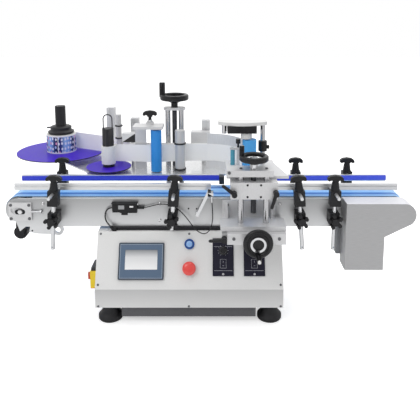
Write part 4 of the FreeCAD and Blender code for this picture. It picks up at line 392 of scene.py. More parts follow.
def controller_rule(centre, normal):
    """Blue and black collars for the buttons, and bright screws at both ends of each plate."""
    across, up, out = on_panel(centre)
    if abs(across - BUTTONS_ACROSS) < COLLAR_REACH:
        return 1 if up > BETWEEN_BUTTONS else 2
    at_screw = abs(abs(up - CONTROLLER_UP) - CONTROLLER_SCREW) < 4
    return 3 if at_screw and out > CONTROLLER_FACE else 0


dressed("speed_controller_plates", "speed_controllers",
        [controller_abs, blue_ring, black_abs, screw_bright], controller_rule, edge=0.3)
dial_ticks, rocker_spots = [], []
for across, dial in ((84.0, "left_speed_dial"), (173.0, "right_speed_dial")):
    dressed(dial + "_knob", dial, [black_abs], edge=0.25)
    for step in range(11):
        angle = math.radians(-150 + 30 * step)
        dial_ticks.append(panel_spot(across + TICK_RADIUS * math.sin(angle),
                                     DIAL_UP + TICK_RADIUS * math.cos(angle), INK_OUT, -angle))
    rocker_spots.append(panel_spot(across, ROCKER_UP, INK_OUT))


def bars(*boxes):
    """Small blocks in one mesh. A box is its middle and its size in millimetres."""
    form = bmesh.new()
    for middle, size in boxes:
        made = bmesh.ops.create_cube(form, size=1.0)["verts"]
        bmesh.ops.scale(form, vec=[value * MM for value in size], verts=made)
        bmesh.ops.translate(form, vec=[value * MM for value in middle], verts=made)
    return form


INK = 0.2
LINE = 0.6
repeated("dial_ticks", bars(((0, 0, 0.05), (0.7, 2.4, INK))), dial_ticks, white_ink)
surround = [((side * 8.4, 0, 0), (LINE, 24, INK)) for side in (-1, 1)]
surround += [((0, side * 12, 0), (17.4, LINE, INK)) for side in (1, -1)]
surround += [((0, up, 0), (52, LINE, INK)) for up in (47, -19)]
repeated("rocker_surrounds", bars(*surround), rocker_spots, white_ink)
repeated("rocker_marks", bars(((0, 5.5, 1.55), (0.8, 4.5, 4.0)), ((0, -5.5, 0.85), (4.0, 0.8, 3.6))),
         rocker_spots, white_ink)


# Main switch
# A rotary isolator in a yellow moulded box on the left wall, with a red handle. Glossy ABS.

yellow_box, tree, shader = finish("moulded_abs_yellow", "#F2D21A", 0.32)
grain(tree, shader, 0.9, 0.01, ("#EECB12", "#F6DA2A"))
orange_cap, tree, shader = finish("moulded_abs_orange", "#E98B1C", 0.34)
grain(tree, shader, 0.9, 0.01, ("#E38216", "#EE9626"))
red_handle, tree, shader = finish("moulded_handle_red", "#C8452C", 0.3)
grain(tree, shader, 0.9, 0.01, ("#BE3E27", "#D24C32"))
dressed("main_switch_box", "power_switch_box", [yellow_box, orange_cap, black_abs],
        lambda centre, normal: 2 if centre.z > 149.1 else (1 if centre.z < 103 else 0), edge=0.6)
dressed("main_switch_handle", "power_switch_knob", [red_handle], edge=0.4)


# Conveyor frame and rollers
# Laser-cut side plates of brushed stainless steel, held apart by turned ties. The brushing runs along
# the plates and draws the light out into long soft streaks. Painted shade darkens the plates towards
# their top, and a painted highlight lights their upward top edge.

brushed, tree, shader = finish("brushed_stainless", "#CDCED0", 0.34, Metallic=0.8)
grain(tree, shader, 1.2, 0.004, ("#C6C7C9", "#D4D5D7"), (0.3, 0.4), (0.02, 1, 1), 4.0)
black_steel_and_hole_shade, tree, shader = finish("black_oxide_steel_and_hole_shade", "#222225", 0.42, Metallic=0.6)
grain(tree, shader, 0.9, 0.006, ("#1D1D20", "#2B2B2F"), (0.34, 0.5))
aluminium, tree, shader = finish("milled_aluminium", "#DADADB", 0.38, Metallic=0.5)
grain(tree, shader, 0.8, 0.005, ("#D4D4D5", "#E1E1E2"), (0.32, 0.46), (1, 1, 0.15))
# Painted shade: the side plates darken from their foot towards their top.
side_plate, tree, shader = finish("brushed_side_plate_painted_shade", "#C6C7C8", 0.34, Metallic=0.7)
grain(tree, shader, 1.2, 0.004, rough=(0.3, 0.4), stretch=(0.02, 1, 1), detail=4.0)
coloured(tree, shader, axes(tree)["Z"], ((0.262, "#DEDFE0"), (0.346, "#AFB0B1")), "LINEAR")
# Painted highlight: the plates' upward top edge is coloured near white.
plate_top_painted_highlight, tree, shader = finish("plate_top_edge_painted_highlight", "#F2F4F6", 0.4, Metallic=0.3)
grain(tree, shader, 0.8, 0.003, ("#EAECEE", "#F8FAFC"), (0.34, 0.46), (0.05, 1, 1))


PLATE_FRONT, PLATE_TOP, BLOCK_FACE = -140.0, 350.0, -148.0


def plate_rule(centre, normal):
    """Bright screw heads in front, black by the return roller, and a painted highlight on the top edge."""
    if centre.y < PLATE_FRONT - 0.05:
        return 1
    if centre.x < -490 and centre.z < 262:
        return 2
    return 3 if normal.z > 0.7 and centre.z > PLATE_TOP - 0.1 else 0


dressed("conveyor_side_plates", "conveyor_frame", [side_plate, screw_bright, black_steel_and_hole_shade, plate_top_painted_highlight],
        plate_rule, edge=0.4)
block_screws = [((x, BLOCK_FACE, z), FACES_FRONT)
                for x in (-532.5, -479.5) for z in (291.5, 332.5)]
smooth(repeated("bearing_block_screws", lathe(SCREW_HEAD), block_screws, screw_steel, size=1.4))
TAIL_AXLE = ((-506, BLOCK_FACE, 312), FACES_FRONT)
# Painted shade: a thin black oval on the bearing block stands for the shade inside the axle's slot.
SLOT_RADIUS = 7.5
slot = lathe([(SLOT_RADIUS, 0.0), (SLOT_RADIUS, 0.3)])
for corner in slot.verts:
    corner.co.x += math.copysign(SLOT_RADIUS * MM, corner.co.x)
repeated("tail_axle_slot", slot, [TAIL_AXLE], black_steel_and_hole_shade)
AXLE_END = [(6.6, 0.0), (6.6, 1.2), (5.2, 1.6), (5.0, 2.6), (2.2, 3.0)]
smooth(repeated("tail_axle_end", lathe(AXLE_END), [TAIL_AXLE], screw_bright))
# Painted shade: thin black discs on the plate stand for the shade inside its holes.
PLATE_HOLE = [(2.6, 0.0), (2.6, 0.15)]
plate_holes = [((x, PLATE_FRONT, z), FACES_FRONT)
               for x, z in ((-16.4, 319.2), (7.5, 318.6), (-475.9, 251.3))]
repeated("plate_holes", lathe(PLATE_HOLE), plate_holes, black_steel_and_hole_shade)
dressed("tail_bearings", "tail_bearing_blocks", [aluminium, brushed],
        lambda centre, normal: 1 if centre.x > -472 else 0, edge=0.5)
dressed("conveyor_stand", "conveyor_riser", [black_steel_and_hole_shade], edge=0.5)
steel_tube, tree, shader = finish("ground_steel_tube", "#B9BABC", 0.24, Metallic=1.0)
grain(tree, shader, 0.9, 0.003, ("#AEAFB1", "#C4C5C7"), (0.18, 0.32), (1, 0.05, 1))
for roller in ("tail_roller", "drive_roller", "return_roller", "motor_pulley"):
    dressed(roller + "_turned", roller, [black_steel_and_hole_shade if roller == "return_roller" else steel_tube], edge=0.3)


# Conveyor belt
# An endless blue PVC belt on a polyester weave. Its top cover is smooth and pale, and its cut edges are
# grey-blue. The darker band along each side is painted shade from the guide rails.

belt_pvc, tree, shader = finish("pvc_belt_blue", "#86BDF0", 0.38)
grain(tree, shader, 1.43, 0.02, detail=2.0)
BELT_MIDDLE = -80.0
from_middle = node(tree, "ShaderNodeMath", {"operation": "ABSOLUTE"},
                   i0=axes(tree, (0, BELT_MIDDLE * MM, 0))["Y"])
# Painted shade: a darker band along each side of the belt.
coloured(tree, shader, from_middle,
         ((0.0, "#8EC5F9"), (0.018, "#2E78C8"), (0.035, "#8EC5F9"), (0.0515, "#41658A")))
dressed("conveyor_belt_loop", "conveyor_belt", [belt_pvc], edge=0.4)


# Belt drive
# A worm gear motor under the conveyor and a toothed belt to the drive roller, behind a folded cover of
# satin stainless sheet. The cover's upward faces are a lighter copy, a painted highlight. The motor is
# a grey die casting with a black cover.

satin_sheet, tree, shader = finish("satin_sheet_grey", "#B4B4B5", 0.42, Metallic=0.45)
grain(tree, shader, 1.0, 0.004, ("#AEAEAF", "#BABABB"), (0.36, 0.48), (0.05, 1, 1))
# Painted highlight: the cover's upward faces take a lighter copy of the sheet.
satin_top_painted_highlight, tree, shader = finish("satin_sheet_painted_highlight", "#E4E5EA", 0.42, Metallic=0.3)
grain(tree, shader, 1.0, 0.004, ("#DEDFE4", "#EAEBF0"), (0.36, 0.48), (0.05, 1, 1))
dressed("drive_guard", "drive_cover", [satin_sheet, satin_top_painted_highlight],
        lambda centre, normal: 1 if normal.z > 0.6 else 0, edge=0.8)
die_cast, tree, shader = finish("die_cast_grey", "#8E9093", 0.5, Metallic=0.5)
grain(tree, shader, 1.2, 0.02, ("#84868A", "#9A9C9F"), (0.42, 0.58))
toothed_rubber, tree, shader = finish("toothed_belt_rubber", "#1A1A1A", 0.6)
grain(tree, shader, 0.9, 0.01, ("#151515", "#222222"))
MOTOR_COVER = -94.0
dressed("gear_motor", "drive_gearmotor", [die_cast, black_abs, toothed_rubber],
        lambda centre, normal: 2 if centre.y < PLATE_FRONT - 0.2 else int(centre.y > MOTOR_COVER),
        edge=0.4)


# Guide rails
# Slotted aluminium profiles with a low-friction plastic strip along the bottle side. The strips behind
# the belt are blue, those in front are pale grey. The long rail behind ends in a black plug.

STRIP_FOOT, STRIP_TOP, STRIP_BACK = 372.0, 387.0, 4.3
PLUG_LEFT = 74.0
strip_blue, tree, shader = finish("uhmw_strip_blue", "#3B46D8", 0.4)
grain(tree, shader, 1.0, 0.006, ("#3540CC", "#4450E0"), (0.34, 0.46), (0.1, 1, 1))
strip_violet, tree, shader = finish("uhmw_strip_violet", "#5566EE", 0.4)
grain(tree, shader, 1.0, 0.006, ("#4D5EE6", "#5F70F2"), (0.34, 0.46), (0.1, 1, 1))
strip_grey, tree, shader = finish("uhmw_strip_grey", "#C9CCD2", 0.42)
grain(tree, shader, 1.0, 0.006, ("#C1C4CA", "#D2D5DA"), (0.36, 0.48), (0.1, 1, 1))
satin_alu, tree, shader = finish("anodised_aluminium_satin", "#E2E3E4", 0.34, Metallic=0.85)
grain(tree, shader, 0.9, 0.003, ("#DADBDC", "#EAEBEC"), (0.28, 0.4), (0.03, 1, 1))
for rail, strip_finish in (("front_left_rail", strip_grey), ("front_right_rail", strip_grey),
                           ("rear_left_rail", strip_blue), ("rear_right_rail", strip_violet)):
    inner, middle = (1, -120.0) if rail.startswith("front") else (-1, -33.0)

    def rail_rule(centre, normal):
        if centre.x > PLUG_LEFT and rail == "rear_left_rail":
            return 2
        inside = (centre.y - middle) * inner > STRIP_BACK
        return 1 if inside and STRIP_FOOT < centre.z < STRIP_TOP else 0

    dressed(rail + "_profile", rail, [satin_alu, strip_finish, black_abs], rail_rule, edge=0.3)


# Rail brackets
# Moulded glass-filled nylon clamps on ground steel rods, each with a star knob on the frame and a wing
# knob on top. The nylon is black and slightly pebbled.

nylon, tree, shader = finish("glass_nylon_black", "#17171A", 0.5, Specular_IOR_Level=0.4)
grain(tree, shader, 0.7, 0.03, ("#131316", "#1E1E21"), (0.42, 0.6))
bright_rod, tree, shader = finish("chromed_rod", "#D6D7D9", 0.1, Metallic=1.0)
grain(tree, shader, 1.5, 0.001, rough=(0.07, 0.14), stretch=(1, 1, 0.05))
dressed("rail_bracket_clamps", "bracket_clamps", [nylon], edge=0.8)
dressed("rail_bracket_rods", "bracket_rods", [bright_rod], edge=0.4)
dressed("rail_bracket_knobs", "bracket_knobs", [nylon], edge=0.7)


# Label head on its columns
# Two chromed columns carry the whole head on a lifting screw with a cast hand wheel, lacquered black.
# The deck is mirror-finished stainless plate on a machined aluminium block.

lacquer, tree, shader = finish("lacquered_casting_black", "#111113", 0.3, Specular_IOR_Level=0.4)
grain(tree, shader, 2.2, 0.01, ("#0F0F11", "#17171A"), (0.24, 0.38))
mirror_plate, tree, shader = finish("mirror_stainless", "#F0F1F2", 0.2, Metallic=0.7)
grain(tree, shader, 6.0, 0.002, ("#EBECED", "#F5F6F7"), (0.16, 0.26))
column_steel, tree, shader = finish("hard_chrome_column", "#C2C2C4", 0.2, Metallic=1.0)
grain(tree, shader, 1.2, 0.002, ("#B9B9BB", "#CACACC"), (0.16, 0.26), (1, 1, 0.05))
rolled_thread, tree, shader = finish("rolled_thread_steel", "#46474A", 0.36, Metallic=0.85)
grain(tree, shader, 0.8, 0.004, ("#3C3D40", "#55565A"))
place = node(tree, "ShaderNodeTexCoord")
ridges = node(tree, "ShaderNodeTexWave", {"bands_direction": "Z"}, Vector=place.outputs["Object"],
              Scale=78.5)
thread = node(tree, "ShaderNodeBump", Height=ridges.outputs["Fac"], Distance=0.9 * MM)
tree.links.new(thread.outputs["Normal"], shader.inputs["Normal"])
FOOT_TOP, BLOCK_FOOT = 269.1, 569.9
dressed("lifting_columns", "head_columns", [column_steel, aluminium],
        lambda centre, normal: 0 if FOOT_TOP < centre.z < BLOCK_FOOT else 1, edge=0.5)


def wheel_rule(middle, screw_top, hub_low, hub_top, grip_top, polished=0.0):
    """Threaded below, bright at the journal, the hub's nut and the polished web, lacquered elsewhere."""
    def rule(centre, normal):
        out = math.hypot(centre.x - middle[0], centre.y - middle[1])
        if centre.z < screw_top:
            return 2
        if centre.z > grip_top - 0.1:
            return 3
        if 13 < out < polished and normal.z > 0.4:
            return 0
        return 0 if centre.z < hub_low or (out < 9 and centre.z > hub_top) else 1
    return rule


dressed("head_hand_wheel", "head_crank", [bright_rod, lacquer, rolled_thread, screw_bright],
        wheel_rule((-71, 95), screw_top=569.8, hub_low=0, hub_top=611, grip_top=661), edge=0.5)
dressed("head_deck", "label_deck", [mirror_plate, aluminium],
        lambda centre, normal: 1 if centre.z < 377.9 else 0, edge=0.4)


# Supply reel, its roll of labels and the rewinder
# A violet acrylic disc, dark at its rim, carries the roll of printed labels on a black spindle with a
# core clamp. The empty backing web is wound on a smaller disc under a wire bail. The print is a plain
# pattern of dots on blue fields, with a bare border round each label.

acrylic, tree, shader = finish("cast_acrylic_violet", "#3D1CB4", 0.36, Specular_IOR_Level=0.15)
grain(tree, shader, 5.0, 0.004, ("#3716AC", "#4424BE"), (0.32, 0.42))
acrylic_edge, tree, shader = finish("cast_acrylic_edge", "#241A3C", 0.3)
grain(tree, shader, 1.0, 0.004, ("#1E1634", "#2C2148"))
reel_black, tree, shader = finish("anodised_reel_black", "#222225", 0.4, Specular_IOR_Level=0.35)
grain(tree, shader, 0.8, 0.004, ("#1E1E21", "#2A2A2E"), (0.34, 0.48))


def disc_rule(middle, radius, top):
    """Black above the disc's top face and dark at its rim."""
    def rule(centre, normal):
        if centre.z > top + 0.1:
            return 2
        out = math.hypot(centre.x - middle[0], centre.y - middle[1])
        return 1 if abs(normal.z) < 0.5 and out > radius - 2 else 0
    return rule


dressed("supply_reel", "label_reel", [acrylic, acrylic_edge, reel_black],
        disc_rule((-475, 195), 150, 407), edge=0.4)
paper_white, tree, shader = finish("glassine_paper_white", "#EDEDEA", 0.55)
grain(tree, shader, 0.6, 0.01, ("#E4E4E0", "#F4F4F1"), (0.48, 0.62), (1, 1, 0.2))


REWIND_X, REWIND_Y, REWIND_RADIUS = -279.0, 30.0, 71.0
WOUND_LOW, WOUND_HIGH, WOUND_IN, WOUND_OUT = 407.9, 466.1, 18.4, 22.5
rewind_disc = disc_rule((REWIND_X, REWIND_Y), REWIND_RADIUS, 398)


def rewind_rule(centre, normal):
    """The wound paper between the disc and the spool's black head."""
    out = math.hypot(centre.x - REWIND_X, centre.y - REWIND_Y)
    if WOUND_LOW < centre.z < WOUND_HIGH and WOUND_IN < out < WOUND_OUT:
        return 3
    return rewind_disc(centre, normal)


dressed("rewinder", "rewind_spool", [acrylic, acrylic_edge, reel_black, paper_white],
        rewind_rule)

label_print, tree, shader = finish("printed_paper_roll", "#D8D9DE", 0.42)
MATH = "ShaderNodeMath"
ROLL_FOOT = (-0.475, 0.195, 0.407)
LABELS_ROUND, FIRST_LABEL = 5, 1.2166
from_foot = axes(tree, ROLL_FOOT)
angle = node(tree, MATH, {"operation": "ARCTAN2"}, i0=from_foot["Y"], i1=from_foot["X"])
labels = node(tree, MATH, {"operation": "MULTIPLY_ADD"}, i0=angle, i1=LABELS_ROUND / math.tau,
              i2=FIRST_LABEL)
along = node(tree, MATH, {"operation": "FRACT"}, i0=labels)
ground = node(tree, "ShaderNodeValToRGB", Fac=along)
stops = ground.color_ramp.elements
stops[0].color = linear("#16245C")
stops[1].position, stops[1].color = 0.97, linear("#10204E")
for position, code in ((0.16, "#2B3A86"), (0.36, "#9CC2F2"), (0.62, "#7EA6E4"), (0.8, "#1B2C66")):
    stops.new(position).color = linear(code)
cell_across = node(tree, MATH, {"operation": "MULTIPLY"}, i0=labels, i1=6.0)
cell_up = node(tree, MATH, {"operation": "MULTIPLY"}, i0=from_foot["Z"], i1=62.0)
cells = node(tree, "ShaderNodeCombineXYZ", X=cell_across, Y=cell_up)
blobs = node(tree, "ShaderNodeTexVoronoi", {"voronoi_dimensions": "2D"}, Vector=cells, Scale=1.0,
             Randomness=0.45)
inks = node(tree, "ShaderNodeValToRGB", Fac=blobs.outputs["Color"])
inks.color_ramp.interpolation = "CONSTANT"
stops = inks.color_ramp.elements
stops[0].color = linear("#EEF0FA")
stops[1].position, stops[1].color = 0.55, linear("#E79CC4")
stops.new(0.72).color = linear("#B9CDF4")
on_blob = node(tree, MATH, {"operation": "LESS_THAN"}, i0=blobs.outputs["Distance"], i1=0.3)
printed = node(tree, "ShaderNodeMix", {"data_type": "RGBA"}, i0=on_blob, i6=ground.outputs["Color"],
               i7=inks.outputs["Color"]).outputs[2]
from_seam = node(tree, MATH, {"operation": "PINGPONG"}, i0=along, i1=0.5)
seam = node(tree, MATH, {"operation": "LESS_THAN"}, i0=from_seam, i1=0.022)
low_edge = node(tree, MATH, {"operation": "LESS_THAN"}, i0=from_foot["Z"], i1=0.0042)
high_edge = node(tree, MATH, {"operation": "GREATER_THAN"}, i0=from_foot["Z"], i1=0.0574)
edges = node(tree, MATH, {"operation": "MAXIMUM"}, i0=low_edge, i1=high_edge)
border = node(tree, MATH, {"operation": "MAXIMUM"}, i0=seam, i1=edges)
bare = node(tree, "ShaderNodeMix", {"data_type": "RGBA"}, i0=border, i6=printed,
            i7=linear("#F1F1F4")).outputs[2]
tree.links.new(bare, shader.inputs["Base Color"])
dressed("label_roll_printed", "label_roll", [label_print, paper_white],
        lambda centre, normal: 1 if abs(normal.z) > 0.5 else 0, edge=0.3)


# Web rollers, their housing and the peel plate
# Anodised and rubber-covered rollers on steel shafts lead the web. The traction roller is cast in blue
# polyurethane, and the web is peeled over a thin curved stainless plate. The web's small glow stands
# for the light that comes through thin paper.

guide_alu, tree, shader = finish("turned_aluminium_white", "#D6D6D6", 0.4, Metallic=0.35)
grain(tree, shader, 0.8, 0.003, ("#CFCFCF", "#DDDDDD"), (0.34, 0.46), (1, 1, 12))
urethane, tree, shader = finish("cast_polyurethane_blue", "#2A92E4", 0.4)
grain(tree, shader, 1.2, 0.008, ("#248ADC", "#349CEC"), (0.34, 0.46))
dressed("rear_guide", "rear_guide_roller", [guide_alu, black_abs],
        lambda centre, normal: 1 if math.hypot(centre.x + 261, centre.y - 128) > 9.5 else 0, edge=0.3)
dressed("front_guide", "front_guide_roller", [guide_alu, black_abs],
        lambda centre, normal: 1 if math.hypot(centre.x + 50, centre.y - 34) > 16.4 else 0, edge=0.3)
dressed("traction_roller_covered", "traction_roller", [urethane, bright_rod],
        lambda centre, normal: 0 if 385.9 < centre.z < 519.1 else 1, edge=0.4)
dressed("pinch_roller_steel", "pinch_roller", [guide_alu], edge=0.3)
dressed("traction_stand", "traction_housing", [aluminium], edge=0.5)
dressed("pressure_screw_knob", "pressure_knob", [nylon, bright_rod],
        lambda centre, normal: 0 if centre.z > 548 else 1, edge=0.5)
blade_steel, tree, shader = finish("satin_blade_stainless", "#E6E6E6", 0.42, Metallic=0.25)
grain(tree, shader, 1.0, 0.003, ("#E0E0E0", "#ECECEC"), (0.36, 0.48), (1, 1, 0.05))
dressed("peel_blade", "peel_plate", [blade_steel], edge=0.3, degrees=20)
web_paper, tree, shader = finish("glassine_web", "#F6F6F5", 0.4, Emission_Strength=0.1)
shader.inputs["Emission Color"].default_value = linear("#F4F4F2")
grain(tree, shader, 0.8, 0.004, ("#F1F1F0", "#FAFAF9"), (0.34, 0.46), (1, 1, 0.3))
dressed("label_web_bands", "label_web", [web_paper], degrees=25)


# Support posts and label sensor
# Extruded T-slot posts, bright anodised, a plain gear box on its own post, and a fork sensor in a small
# moulded case.

dressed("profile_posts", "support_posts", [satin_alu, aluminium],
        lambda centre, normal: 1 if centre.x > -20 and centre.y < 136 else 0, edge=0.4)
dressed("fork_sensor", "label_sensor", [black_abs, satin_alu],
        lambda centre, normal: 0 if 466.9 < centre.z < 479 else 1, edge=0.6)


# Wrapping station
# A dovetail slide and a lifting carriage, both milled from aluminium, set the wrapping rollers against
# the bottle. The cranks are lacquered black, and the driven roller is a soft blue foam rubber.

dressed("cross_slide_bed", "cross_slide_way", [aluminium], edge=0.6)
dressed("saddle_and_posts", "cross_slide_saddle", [aluminium, column_steel],
        lambda centre, normal: 1 if 311.1 < centre.z < 446.9 else 0, edge=0.6)
white_tip, tree, shader = finish("moulded_tip_white", "#E4E4E2", 0.35)
grain(tree, shader, 0.8, 0.005, ("#DADAD8", "#EEEEEC"))


def slide_wheel_rule(centre, normal):
    """A white tip on the grip, a bright ring round the hub, lacquer on the wheel and a bright screw."""
    out = math.hypot(centre.x - 174, centre.z - 282)
    if centre.y < -341.2:
        return 2
    if centre.y < -307 and 14 < out < 21.5:
        return 0
    return 1 if centre.y < -291 else 0


dressed("slide_hand_wheel", "cross_slide_crank", [bright_rod, lacquer, white_tip], slide_wheel_rule,
        edge=0.5)


def carriage_rule(centre, normal):
    """Painted shade: black inside the four tapped holes of the front face."""
    in_hole = abs(abs(centre.x - 166) - 18) < 3.2 and abs(abs(centre.z - 409.5) - 16.5) < 3.2
    return 1 if in_hole and -249.9 < centre.y < -243.9 else 0


dressed("carriage_block", "lift_carriage", [aluminium, black_steel_and_hole_shade], carriage_rule, edge=0.6)
SOCKET_HEAD = [(4.4, 0.0), (4.4, 2.2), (4.0, 2.6), (2.4, 2.6), (2.3, 1.0)]
station_screws = [((x, -272, 283.8), FACES_FRONT) for x in (110.8, 233.2)]
station_screws.append(((97.0, BLOCK_FACE, 334.0), FACES_FRONT))
smooth(repeated("station_cap_screws", lathe(SOCKET_HEAD), station_screws, screw_steel))
lift_screws = [((98.5, -245, 459.0), FACES_FRONT)]
lift_screws += [((x, -225, 465), (0, 0, 0)) for x in (131.0, 201.0)]
smooth(repeated("lift_block_screws", lathe(SOCKET_HEAD), lift_screws, screw_steel, "saddle"))
dressed("lift_hand_wheel", "lift_crank", [bright_rod, lacquer, rolled_thread, screw_bright],
        wheel_rule((166, -225), screw_top=446.8, hub_low=478.3, hub_top=494, grip_top=530, polished=26.2),
        edge=0.4)
for lever in ("left_carriage_lever", "right_carriage_lever", "slide_lever"):
    dressed(lever + "_clamp", lever, [nylon], edge=0.3)
dressed("wrapping_arm", "wrap_arm", [aluminium, lacquer],
        lambda centre, normal: 1 if centre.z > 493.1 else 0, edge=0.5)
plate_white, tree, shader = finish("powder_coat_plate_white", "#E2E2E0", 0.4)
grain(tree, shader, 1.0, 0.01, ("#DCDCDA", "#E8E8E6"), (0.34, 0.46))


def head_rule(centre, normal):
    """The white plate on top, the lacquered collar low on the post and the bright post between."""
    if centre.z > 559.9:
        return 0
    out = math.hypot(centre.x - 203, centre.y + 78)
    return 2 if 476.9 < centre.z < 508.1 and out > 7.9 else 1


dressed("wrap_head_top", "wrap_head_plate", [plate_white, column_steel, lacquer], head_rule, edge=0.6)
dressed("wrap_gear_case", "wrap_drive_case", [lacquer, plate_white],
        lambda centre, normal: 1 if centre.z < 537.9 else 0, edge=0.8)
foam_rubber, tree, shader = finish("foam_rubber_blue", "#4DAEF6", 0.6)
grain(tree, shader, 0.8, 0.03, ("#44A6F0", "#5CB8FA"), (0.52, 0.68))
dressed("wrap_roller_foam", "wrap_roller", [foam_rubber, bright_rod],
        lambda centre, normal: 0 if centre.z < 517.1 else 1, edge=0.8)
teal_rubber, tree, shader = finish("cast_rubber_teal", "#4FA0B8", 0.45)
grain(tree, shader, 0.9, 0.01, ("#4796AE", "#58AAC2"))
dressed("idle_roller_teal", "idle_roller", [teal_rubber], edge=0.3)


# Bottle sensor and its leads
# A fibre amplifier in a moulded black case on the front plate, its white display bare. A PVC lead and a
# finer fibre leave it, each a fixed length laid along the frame.

display_grey, tree, shader = finish("display_grey", "#9A9C9E", 0.25, Coat_Weight=0.4)
grain(tree, shader, 2.0, 0.004, ("#8E9092", "#A8AAAC"))
sensor_black, tree, shader = finish("moulded_pbt_black", "#141416", 0.4, Specular_IOR_Level=0.3)
grain(tree, shader, 0.7, 0.01, ("#101012", "#1B1B1E"), (0.34, 0.48))
window_white, tree, shader = finish("moulded_window_white", "#F2F2F2", 0.3)
grain(tree, shader, 0.8, 0.003, ("#EAEAEA", "#F8F8F8"))


def sensor_rule(centre, normal):
    """Black amplifier, fibre tip and clip. The bracket, the arm and their studs are bright."""
    if centre.x < -100:
        return 1 if centre.y > -142.05 else 0
    if centre.y < -166.4 and centre.x > 48.4:
        return 0 if centre.z < 355 else 1
    return 1 if centre.y > -156 and centre.z > 305 else 0


dressed("bottle_sensor", "sensor_amplifier", [sensor_black, bright_rod], sensor_rule, edge=0.4)
for name, middle, size, finish_used in (
        ("amplifier_display", (-210.5, -154.1, 328.0), (17.0, 0.5, 11.5), display_grey),
        ("amplifier_window", (-181.0, -154.1, 330.0), (11.0, 0.5, 4.6), window_white),
        ("amplifier_display_rim", (-210.5, -154.05, 328.0), (19.5, 0.3, 14.0), black_abs)):
    cast(name, bars((middle, size)), "root", [finish_used])
pvc_black, tree, shader = finish("pvc_cable_black", "#17171A", 0.45)
grain(tree, shader, 0.6, 0.006, ("#131316", "#1E1E22"))
CABLE = ((-237, -148, 325), (-247, -148, 324), (-256, -149, 316), (-259, -150, 302),
         (-257, -151, 288), (-249, -153, 276), (-240, -154, 268))
FIBRE = ((-145, -148, 325), (-127, -148, 329), (-100, -149, 337), (-72, -149.5, 335),
         (-47, -152, 324), (-24, -158, 302), (-7, -164, 280), (10, -169, 261), (32, -170, 252),
         (48, -170, 268), (54, -170, 293), (54, -170, 320), (52, -170, 349))


def lead(name, cad, points, radius):
    """A round lead along its route, as one smooth curve."""
    curve = bpy.data.curves.new(name, "CURVE")
    curve.dimensions = "3D"
    curve.bevel_depth = radius * MM
    curve.bevel_resolution = 5
    curve.use_fill_caps = True
    spline = curve.splines.new("NURBS")
    spline.points.add(len(points) - 1)
    for point, spot in zip(spline.points, points):
        point.co = (spot[0] * MM, spot[1] * MM, spot[2] * MM, 1.0)
    spline.order_u = 3
    spline.use_endpoint_u = True
    spline.resolution_u = 12
    piece = bpy.data.objects.new(name, curve)
    bpy.context.scene.collection.objects.link(piece)
    curve.materials.append(pvc_black)
    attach(piece, "root")
    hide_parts(cad)


lead("amplifier_lead", "amplifier_cable", CABLE, 2.0)
lead("fibre_lead", "fibre_cable", FIBRE, 1.4)


# Photographer's table
# A plain pale sweep under the machine and three large soft lights.

floor_form = bmesh.new()
bmesh.ops.create_grid(floor_form, x_segments=1, y_segments=1, size=9.0)
floor_mesh = bpy.data.meshes.new("pale_floor")
floor_form.to_mesh(floor_mesh)
floor_form.free()
floor = bpy.data.objects.new("pale_floor", floor_mesh)
bpy.context.scene.collection.objects.link(floor)
sweep, tree, shader = finish("matt_white_sweep", "#F2F2F2", 0.9)
grain(tree, shader, 40.0, 0.01, ("#F0F0F0", "#F4F4F4"))
rays = node(tree, "ShaderNodeLightPath")
glow = node(tree, "ShaderNodeMath", {"operation": "MULTIPLY"}, i0=rays.outputs["Is Camera Ray"], i1=0.5)
tree.links.new(glow.outputs[0], shader.inputs["Emission Strength"])
floor_mesh.materials.append(sweep)

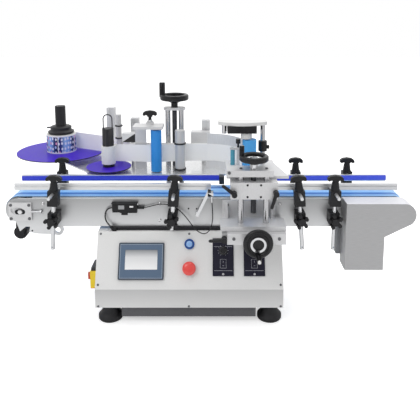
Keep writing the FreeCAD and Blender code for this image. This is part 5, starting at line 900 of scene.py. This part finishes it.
world = bpy.data.worlds.new("studio")
bpy.context.scene.world = world
world.use_nodes = True
tree = world.node_tree
backdrop = tree.nodes["Background"]
backdrop.inputs["Color"].default_value = linear("#FFFFFF")
backdrop.inputs["Strength"].default_value = 1.0
place = node(tree, "ShaderNodeTexCoord")
facing = node(tree, "ShaderNodeVectorMath", {"operation": "DOT_PRODUCT"}, i0=place.outputs["Generated"],
              i1=(0.0, 0.6, 0.6))
lifted = node(tree, "ShaderNodeMath", {"operation": "ADD"}, i0=facing.outputs["Value"], i1=0.35)
height = node(tree, "ShaderNodeValToRGB", Fac=lifted)
height.color_ramp.elements[0].color = linear("#98989A")
height.color_ramp.elements[1].color = linear("#FFFFFF")
around = node(tree, "ShaderNodeBackground", Color=height.outputs["Color"], Strength=1.0)
rays = node(tree, "ShaderNodeLightPath")
mixed = node(tree, "ShaderNodeMixShader", i0=rays.outputs["Is Camera Ray"], i1=around.outputs[0],
             i2=backdrop.outputs[0])
tree.links.new(mixed.outputs[0], tree.nodes["World Output"].inputs["Surface"])


def soft_light(name, place, aim, size, power):
    """A large square light that faces a point."""
    lamp = bpy.data.lights.new(name, "AREA")
    lamp.shape = "SQUARE"
    lamp.size = size
    lamp.energy = power
    made = bpy.data.objects.new(name, lamp)
    bpy.context.scene.collection.objects.link(made)
    made.location = place
    made.rotation_euler = (Vector(aim) - Vector(place)).to_track_quat("-Z", "Y").to_euler()


soft_light("key_light", (-1.6, -2.2, 2.6), (0, 0, 0.3), 1.6, 26)
soft_light("fill_light", (2.4, -1.6, 1.6), (0, 0, 0.3), 1.8, 6)
soft_light("top_light", (0.2, 0.6, 3.0), (0, 0, 0.3), 2.2, 24)


# Camera
# The photograph's view: close in front, a little above the conveyor, shifted down onto the machine.

camera_data = bpy.data.cameras.new("camera")
camera = bpy.data.objects.new("camera", camera_data)
bpy.context.scene.collection.objects.link(camera)
bpy.context.scene.camera = camera
PHOTO_WIDTH, FOCAL_LENGTH = 420, 534.49
SENSOR_WIDTH = 36.0
LOOKS_DOWN = 0.1544
camera.location = (0.05275, -1.63152, 0.88221)
camera.rotation_euler = (math.radians(90) - LOOKS_DOWN, 0, 0)
camera_data.sensor_width = SENSOR_WIDTH
camera_data.lens = FOCAL_LENGTH / PHOTO_WIDTH * SENSOR_WIDTH
camera_data.shift_x = -0.0053
camera_data.shift_y = -0.27
camera_data.clip_start = 0.05
